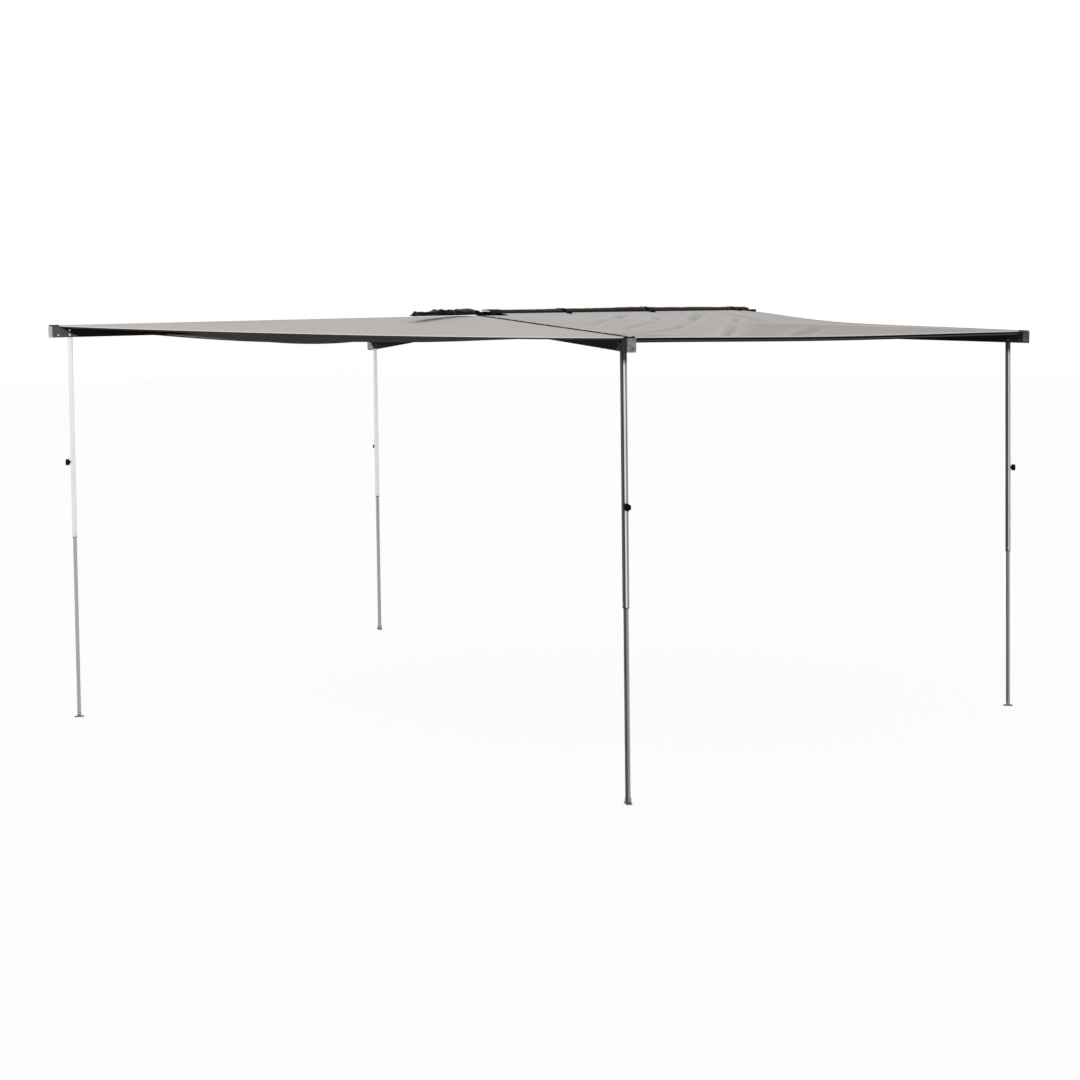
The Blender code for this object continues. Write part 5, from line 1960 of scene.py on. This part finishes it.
class ArmHardware(Hardware):
    """What is fixed to one arm: its clamp, bracket bolts, root screws, rivets and seam tape."""

    def put(self, pattern: Piece, name: str, spots: Sequence[Spot], slot: Slot) -> Piece:
        """Copies a pattern to its spots on the arm.

        Args:
            pattern: The fastener.
            name: What the joined copies are called.
            spots: Where they sit.
            slot: Not used.

        Returns:
            The copies as one piece.
        """
        places = [self.plan.matrix @ spot.matrix() for spot in spots]
        piece = Bench.stamp(pattern, f"{name}_{self.plan.name}", places)
        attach(piece, self.plan.body)
        return piece

    def build(self) -> list[Piece]:
        """Makes and places everything on the arm.

        Returns:
            The pieces.
        """
        arm, at = self.plan, FIXINGS
        facings = ((-1, "right"), (1, "left"))
        clamp = arm.length - at.clamp_inset
        near, far = at.rivet_ends
        start, end = arm.root_inset + near, arm.length - arm.tip_inset - far
        step = at.rivets - 1
        level = arm.top + arm.canopy_lift + at.cloth + (at.over_tape if arm.seam_tape else 0.0)
        # painted shade: arms painted as shaded get the darker bolts
        bolt = self.fasteners.shaded_bolt if arm.look.dark else self.fasteners.bolt
        bolts = [
            Spot(arm.pin_along + along, hand * at.bracket_side, height, facing)
            for hand, facing in facings for along, height in at.bracket_bolts
        ]
        roots = [
            Spot(along, hand * at.root_side, height, facing)
            for hand, facing in facings for along in at.root_alongs for height in at.root_levels
        ]
        clamps = [Spot(clamp, 0.0, arm.top + at.clamp_gap)]
        screws = [Spot(clamp + k, 0.0, arm.top + at.clamp_screw_level) for k in at.clamp_screws]
        rivets = [Spot(start + (end - start) * k / step, 0.0, level) for k in range(at.rivets)]
        made = [
            self.put(bolt, "bracket_bolts", bolts, Slot.ZINC),
            self.put(self.fasteners.screw, "root_screws", roots, Slot.ZINC),
            self.put(self.fasteners.clamp, "corner_clamp", clamps, Slot.PLASTIC),
            self.put(self.fasteners.screw, "clamp_screws", screws, Slot.ZINC),
            self.put(self.fasteners.rivet, "seam_rivets", rivets, Slot.ZINC),
        ]
        if arm.seam_tape:
            made.append(self.tape(start - near, end + far))
        return made

    def tape(self, start: float, end: float) -> Piece:
        """Makes the black tape sewn over the seam on the arm's top.

        Args:
            start: How far down the arm it starts.
            end: How far down the arm it ends.

        Returns:
            The tape.
        """
        arm = self.plan
        level = arm.top + arm.canopy_lift + FIXINGS.cloth + FIXINGS.tape_middle

        def laid(u: float, v: float) -> Vector:
            """Lays one point of the tape, a little puckered by its stitches."""
            along = start + (end - start) * v
            pucker = 0.0002 * math.sin(along * 260) * abs(2 * u - 1)
            return arm.matrix @ Vector((along, (0.5 - u) * arm.seam_tape, level + pucker))

        piece = Bench.strip(
            f"seam_tape_{arm.name}", 6, 220, laid,
            lambda u, v: (u * arm.seam_tape, v * (end - start)),
        )
        Bench.modifier(piece, "SOLIDIFY", thickness=FIXINGS.tape_thickness, offset=0.0)
        piece.data.materials.append(self.finishes.tape)
        Bench.smooth(piece, 50)
        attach(piece, arm.body)
        return piece


class RailHardware(Hardware):
    """What is fixed to the rail: the canopy's bead in its groove and the screws in its plate."""

    def build(self) -> list[Piece]:
        """Makes the bead and places the screws.

        Returns:
            The pieces.
        """
        rail, at = self.plan, FIXINGS
        seats = [
            rail.matrix @ Matrix.Translation((x, y, at.plate_level)) for x, y in at.plate_screws
        ]
        screws = Bench.stamp(self.fasteners.screw, "hinge_plate_screws", seats)
        turn = Matrix.Rotation(math.pi / 2, 4, "Y")
        ends = [
            rail.matrix @ Matrix.Translation((rail.far_end, y, at.end_screw_level)) @ turn
            for y in at.end_screws
        ]
        caps = Bench.stamp(self.fasteners.screw, "end_cap_screws", ends)
        for piece in (screws, caps):
            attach(piece, "rail_body")
        return [screws, caps, self.bead()]

    def bead(self) -> Piece:
        """Makes the canopy's bead in the rail's groove, with the cloth that leaves its mouth.

        Returns:
            The bead.
        """
        rail, radius = self.plan, FIXINGS.bead_radius
        length = rail.canopy_end - rail.canopy_start
        piece = Bench.post("canopy_bead", radius, 0.0, length, 12)
        Bench.faces(
            piece, lambda face: face.normal.y < -0.95 and abs(face.normal.z) < 0.1,
            Bench.extrude(0, -radius, 0), Bench.squeeze(0.35, 1, 1),
        )
        turn = Matrix(((0, 0, 1, 0), (0, 1, 0, 0), (-1, 0, 0, 0), (0, 0, 0, 1)))
        place = Matrix.Translation((rail.canopy_start, rail.groove_back, rail.groove_level))
        piece.data.transform(rail.matrix @ place @ turn)
        piece.data.materials.append(self.finishes.tape)
        Bench.smooth(piece)
        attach(piece, "rail_body")
        return piece


class LegHardware(Hardware):
    """What is fixed to one leg: the rivets of its guide and the cap in its knob."""

    def build(self) -> list[Piece]:
        """Makes and places the leg's small pieces.

        Returns:
            The pieces.
        """
        name, at = self.plan.name, FIXINGS
        low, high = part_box(f"leg_outer_{name}")
        turn = Matrix.Rotation(-math.radians(self.plan.degrees), 4, "Z")
        middle = ((low[0] + high[0]) / 2, (low[1] + high[1]) / 2, low[2])
        centre = Matrix.Translation(middle) @ turn
        seats = [
            centre @ Matrix.Translation((0, hand * at.tube_half, at.guide_level))
            @ Matrix.Rotation(-hand * math.pi / 2, 4, "X")
            for hand in (-1, 1)
        ]
        rivets = Bench.stamp(self.fasteners.rivet, f"guide_rivets_{name}", seats)
        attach(rivets, f"leg_{name}")
        knob_low, knob_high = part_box(f"lock_knob_{name}")
        level = (knob_low[2] + knob_high[2]) / 2
        radius, height = at.knob_cap
        cap = Bench.post(f"knob_cap_{name}", radius, 0.0, height, 24)
        Bench.faces(cap, Bench.top(cap), Bench.round(0.0005))
        Bench.faces(cap, Bench.top(cap), Bench.inset(0.0016), Bench.extrude(0, 0, -0.0005))
        cap.data.transform(
            Matrix.Translation((0, 0, level - low[2]))
            @ centre @ Matrix.Translation((at.knob_face, 0, 0))
            @ Matrix.Rotation(math.pi / 2, 4, "Y")
        )
        cap.data.materials.append(self.finishes.plastic)
        Bench.smooth(cap)
        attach(cap, f"knob_{name}")
        return [rivets, cap]


class CarriedFrame:
    """The CAD nodes that stay in view, and the finish that each of them gets."""

    outer_width = 0.0260
    inner_width = 0.0200
    no_shade = 9.0
    # painted reflections: the bands down the inner tubes of the legs that have them
    inner_reflection_bands = (
        (0.0, 0.05), (0.28, 0.06), (0.38, 0.30), (0.78, 0.36), (0.86, 0.60), (1.0, 0.5),
    )

    def __init__(self, arms: Sequence[Arm], finishes: Finishes) -> None:
        """Keeps the arms' plans and the finishes."""
        self.arms = arms
        self.finishes = finishes

    def dress(self) -> None:
        """Gives every carried-over node its finish."""
        look = self.finishes
        worn = {
            "backing_rail": look.coat, "rail_end_cap": look.plastic, "hinge_plate": look.coat,
            "pivot_bolt": look.zinc, "pivot_nut": look.zinc, "pivot_washer_1": look.plastic,
            "pivot_washer_2": look.plastic, "pivot_washer_3": look.plastic,
        }
        for arm in self.arms:
            worn |= {
                f"arm_link_{arm.name}": look.link, f"arm_channel_{arm.name}": look.coat,
                f"tip_bracket_{arm.name}": self.bracket(arm),
                # painted shade: the shaded arms' pins take the dark copy of the zinc
                f"leg_pin_{arm.name}": look.shaded_zinc if arm.look.dark else look.zinc,
                f"leg_outer_{arm.name}": self.tube(arm, "outer"),
                f"leg_inner_{arm.name}": self.tube(arm, "inner"),
                f"leg_bush_{arm.name}": look.plastic, f"lock_knob_{arm.name}": look.plastic,
                f"foot_plate_{arm.name}": look.foot_steel, f"foot_pin_{arm.name}": look.zinc,
            }
        for name, material in worn.items():
            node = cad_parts[name]
            if not node.material_slots:
                node.data.materials.append(material)
            for slot in node.material_slots:
                slot.material = material

    def bracket(self, arm: Arm) -> Material:
        """Makes the finish of one arm's end bracket, bare on its end wall or a little farther in.

        Args:
            arm: The arm.

        Returns:
            The finish.
        """
        look = arm.look
        way = arm.matrix.to_3x3() @ Vector((1, 0, 0))
        wall = way.dot(arm.matrix @ Vector((arm.length - look.bare_length, 0, 0)))
        # the bare wall's and cheeks' greys are this arm's painted light
        return PressedBracket(
            f"bracket_{arm.name}", (look.lit_cheek_grey, look.lit_cheek_grey, look.lit_cheek_grey * 1.03), 0.45,
            0.1 if look.dark else 0.5, 0.14 if look.dark else 0.4, tuple(way), wall,
            (look.bare, look.bare, look.bare * 1.01),
        ).material()

    def tube(self, arm: Arm, kind: str) -> Material:
        """Makes the finish of one of a leg's tubes, with painted reflection bands across the face
        that its look names, and a painted bracket shadow on the outer tube.

        Args:
            arm: The arm that the leg hangs from.
            kind: Which tube it is, outer or inner.

        Returns:
            The finish.
        """
        outer = kind == "outer"
        if not arm.look.bands:
            return self.finishes.white_tube if outer else self.finishes.inner_tube
        low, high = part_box(f"leg_{kind}_{arm.name}")
        turn = Matrix.Rotation(-math.radians(arm.degrees), 4, "Z")
        axis = turn @ (Vector((1, 0, 0)) if arm.look.along else Vector((0, 1, 0)))
        middle = axis.dot(Vector([(a + b) / 2 for a, b in zip(low, high)]))
        return ReflectionBandedTube(
            f"banded_{kind}_{arm.name}", (0.78, 0.78, 0.79), 0.32, 0.55, 0.4, 0.6,
            axis=tuple(axis), middle=middle,
            width=self.outer_width if outer else self.inner_width,
            below=high[2] if outer else self.no_shade,
            bands=arm.look.bands if outer else self.inner_reflection_bands,
        ).material()


@dataclass(frozen=True)
class Studio:
    """The camera, lights, backdrop and floor."""

    spot: tuple[float, float, float] = (-8.7425, -6.5512, 2.0831)
    yaw: float = 0.65648752
    pitch: float = 0.04935295
    roll: float = 0.01238479
    lens: float = 62.473
    shift: tuple[float, float] = (-0.00604, -0.10950)
    sensor: float = 36.0
    far: float = 200.0
    ambient: float = 0.74
    key_power: float = 150.0
    key_size: float = 5.0
    key_spot: tuple[float, float, float] = (-6.5, 2.0, 7.0)
    key_aim: tuple[float, float, float] = (-0.6, -0.2, 1.9)
    floor_size: float = 120.0
    floor_level: float = -0.0008
    floor_white: float = 0.94

    def build(self) -> None:
        """Makes everything that the object is shown with."""
        self.camera()
        self.lights()
        self.world()
        self.floor()
        bpy.context.scene.view_settings.view_transform = "Standard"

    def camera(self) -> None:
        """Places the camera where the photograph was taken from."""
        data = bpy.data.cameras.new("camera")
        data.lens = self.lens
        data.sensor_width = self.sensor
        data.shift_x, data.shift_y = self.shift
        data.clip_end = self.far
        camera = bpy.data.objects.new("camera", data)
        bpy.context.scene.collection.objects.link(camera)
        forward = Vector((
            math.cos(self.yaw) * math.cos(self.pitch),
            math.sin(self.yaw) * math.cos(self.pitch),
            -math.sin(self.pitch),
        ))
        right = Vector((math.sin(self.yaw), -math.cos(self.yaw), 0))
        up = right.cross(forward)
        across = right * math.cos(self.roll) - up * math.sin(self.roll)
        upright = right * math.sin(self.roll) + up * math.cos(self.roll)
        turn = Matrix((across, upright, -forward)).transposed().to_4x4()
        camera.matrix_world = Matrix.Translation(self.spot) @ turn
        bpy.context.scene.camera = camera

    def lights(self) -> None:
        """Adds one wide soft lamp high on the camera's left."""
        data = bpy.data.lights.new("key", "AREA")
        data.shape = "SQUARE"
        data.size = self.key_size
        data.energy = self.key_power
        lamp = bpy.data.objects.new("key", data)
        bpy.context.scene.collection.objects.link(lamp)
        lamp.location = self.key_spot
        aim = Vector(self.key_aim) - lamp.location
        lamp.rotation_euler = aim.to_track_quat("-Z", "Y").to_euler()

    def world(self) -> None:
        """Lights the object evenly, and shows white to the camera, in gloss and through glass."""
        world = bpy.data.worlds.new("studio")
        world.use_nodes = True
        tree = world.node_tree
        background = tree.nodes["Background"]
        path = tree.nodes.new("ShaderNodeLightPath")
        shown = path.outputs["Is Camera Ray"]
        for ray in ("Is Glossy Ray", "Is Transmission Ray"):
            most = tree.nodes.new("ShaderNodeMath")
            most.operation = "MAXIMUM"
            tree.links.new(shown, most.inputs[0])
            tree.links.new(path.outputs[ray], most.inputs[1])
            shown = most.outputs[0]
        level = tree.nodes.new("ShaderNodeMapRange")
        level.inputs["To Min"].default_value = self.ambient
        level.inputs["To Max"].default_value = 1.0
        tree.links.new(shown, level.inputs["Value"])
        tree.links.new(level.outputs["Result"], background.inputs["Strength"])
        background.inputs["Color"].default_value = (1, 1, 1, 1)
        bpy.context.scene.world = world

    def floor(self) -> None:
        """Adds the pale floor, white to the camera but for a faint shadow."""
        Bench.clear()
        bpy.ops.mesh.primitive_plane_add(size=self.floor_size, location=(0, 0, self.floor_level))
        floor = Bench.settle(bpy.context.object)
        floor.name = "floor"
        graph = Graph("pale_floor")
        graph.give("Base Color", (0.86, 0.86, 0.86))
        graph.give("Roughness", 0.9)
        tree = graph.tree
        path = tree.nodes.new("ShaderNodeLightPath")
        share = graph.mapped(path.outputs["Is Camera Ray"], 0, 1, (0.0, self.floor_white))
        white = tree.nodes.new("ShaderNodeEmission")
        white.inputs["Color"].default_value = (1, 1, 1, 1)
        mix = tree.nodes.new("ShaderNodeMixShader")
        tree.links.new(share, mix.inputs[0])
        tree.links.new(graph.shader.outputs[0], mix.inputs[1])
        tree.links.new(white.outputs[0], mix.inputs[2])
        tree.links.new(mix.outputs[0], tree.nodes["Material Output"].inputs["Surface"])
        floor.data.materials.append(graph.material)


@dataclass(frozen=True)
class Fan:
    """The whole fan's plan: the rail, the four arms and the four panels between them."""

    hub: Vector

    @classmethod
    def about(cls, low: Sequence[float], high: Sequence[float], level: float = 2.1315) -> "Fan":
        """Plans the fan about its pivot.

        Args:
            low: The lowest corner of the pivot's bolt.
            high: Its highest corner.
            level: The height of the arms' axes at the pivot.

        Returns:
            The plan.
        """
        return cls(Vector(((low[0] + high[0]) / 2, (low[1] + high[1]) / 2, level)))

    def rail(self) -> Rail:
        """Returns the rail's plan."""
        return Rail(self.hub)

    def arms(self) -> list[Arm]:
        """Plans the arms, from the rail round to the rear.

        Returns:
            The arms' plans.
        """
        # Painted reflections: the greys of the bands down the front and side legs' outer tubes.
        side_reflection_bands = (
            (0.0, 0.03), (0.26, 0.03), (0.33, 0.92), (0.60, 0.92), (0.65, 0.05), (0.74, 0.05),
            (0.80, 0.50), (1.0, 0.50),
        )
        half = (
            (0.0, 0.05), (0.44, 0.07), (0.52, 0.14), (0.58, 0.90), (0.70, 0.90), (0.77, 0.42),
            (1.0, 0.40),
        )
        rows = (
            ("front", 60.8, 2.45, 0.022, 0.067, 2.872, 0.0),
            ("side", 125.6, 2.70, 0.065, 0.067, 2.549, 0.036),
            ("corner", 218.7, 0.75, 0.108, 0.067, 2.275, 0.016),
            ("rear", 299.9, 3.45, 0.151, 0.232, 2.585, 0.0),
        )
        # Painted light: the greys of each bracket's bare wall and cheeks are set lighter or darker
        # as that arm is lit.
        looks = (
            ArmLook(0.033, 0.045, 0.010, half, True),
            ArmLook(0.0029, 0.135, 0.010, side_reflection_bands),
            ArmLook(0.020, 0.66, 0.075),
            ArmLook(0.0029, 0.45, 0.180),
        )
        return [Arm(self.hub, *row, look) for row, look in zip(rows, looks)]

    def panels(self) -> list[Panel]:
        """Plans the panels, from the rail round to the rear.

        Returns:
            The panels' plans.
        """
        rail, (front, side, corner, rear) = self.rail(), self.arms()
        # Hem bands: the top cloth band is a painted highlight, the dark cloth band is painted
        # shade, and the third band of the deep hem is a painted reflection.
        plain = ((0.003, "cloth"), (0.0105, "black"))
        low = ((0.0035, "cloth"), (0.0052, "black"), (0.0105, "shaded_underside"))
        on_rail = (
            Crease(((0.09, 0.76), (0.20, 0.68), (0.323, 0.593), (0.60, 0.47)), 0.029, 0.015),
            Crease(((0.28, 0.48), (0.432, 0.415), (0.62, 0.35)), 0.026, 0.013),
            Crease(((0.15, 0.42), (0.35, 0.32), (0.55, 0.26)), 0.026, 0.012),
            Crease(((0.30, 0.77), (0.45, 0.68), (0.60, 0.61)), 0.023, 0.012),
            Crease(((0.02, 0.86), (0.20, 0.82), (0.45, 0.80)), 0.035, 0.011),
        )
        on_front = (
            Crease(((0.05, 0.385), (0.23, 0.405), (0.297, 0.398), (0.40, 0.375)), 0.026, 0.014),
            Crease(((0.04, 0.31), (0.13, 0.31), (0.223, 0.305), (0.32, 0.30)), 0.023, 0.011),
            Crease(((0.04, 0.22), (0.15, 0.21), (0.27, 0.21)), 0.023, 0.011),
            Crease(((0.06, 0.47), (0.118, 0.495), (0.305, 0.565), (0.42, 0.62)), 0.026, 0.014),
            Crease(((0.08, 0.66), (0.25, 0.72), (0.40, 0.80)), 0.041, 0.010),
        )
        deep = ((0.0045, "cloth"), (0.0135, "black"), (0.0195, "blue"), (0.0245, "black"))
        return [
            Panel(
                "rail", rail, front, ("rail_body", "arm_front"), 0.020, 0.015, 0.200, 2.30, 1.00,
                plain, (2.95, 2.85, 3.4), piped=True, creases=on_rail, painted_shade_zone=(0.90, -0.52, 0.18),
            ),
            Panel(
                "front", front, side, ("arm_front", "arm_side"), 0.071, 0.009, 0.071, 1.56, 0.69,
                deep, (2.80, 2.70, 3.4), creases=on_front, painted_shade_zone=(0.43, 0.38, 0.78),
            ),
            Panel(
                "side", side, corner, ("arm_side", "arm_corner"), 0.067, 0.014, 0.055, 0.70, 2.35,
                low, (3.60, 2.10, 3.2),
            ),
            Panel(
                "rear", corner, rear, ("arm_corner", "arm_rear"), 0.088, 0.035, 0.081, 1.21, 0.93,
                low, (3.20, 2.30, 3.2),
            ),
        ]


def main() -> None:
    """Dresses the awning and reports each piece."""
    logging.basicConfig(level=logging.INFO, format="%(message)s")
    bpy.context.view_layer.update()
    finishes = Finishes()
    fan = Fan.about(*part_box("pivot_bolt"))
    rail, arms = fan.rail(), fan.arms()
    Studio().build()
    CarriedFrame(arms, finishes).dress()
    cloths = {panel.name: Canopy(panel, finishes).build() for panel in fan.panels()}
    made = list(cloths.values())
    cover = CoverPlan(rail)
    made.append(TravelCover(cover, finishes).build())
    made.append(CoverBunch(BunchPlan(rail), finishes).build(cloths["side"]))
    made += TieStraps(StrapPlan(cover), finishes).build(cloths["rail"])
    fasteners = Fasteners(finishes)
    for arm in arms:
        made += ArmHardware(arm, fasteners, finishes).build()
        made += LegHardware(arm, fasteners, finishes).build()
    made += RailHardware(rail, fasteners, finishes).build()
    fasteners.discard()
    for piece in made:
        log.info("%s: %d faces", piece.name, len(piece.data.polygons))


if __name__ == "__main__":
    main()
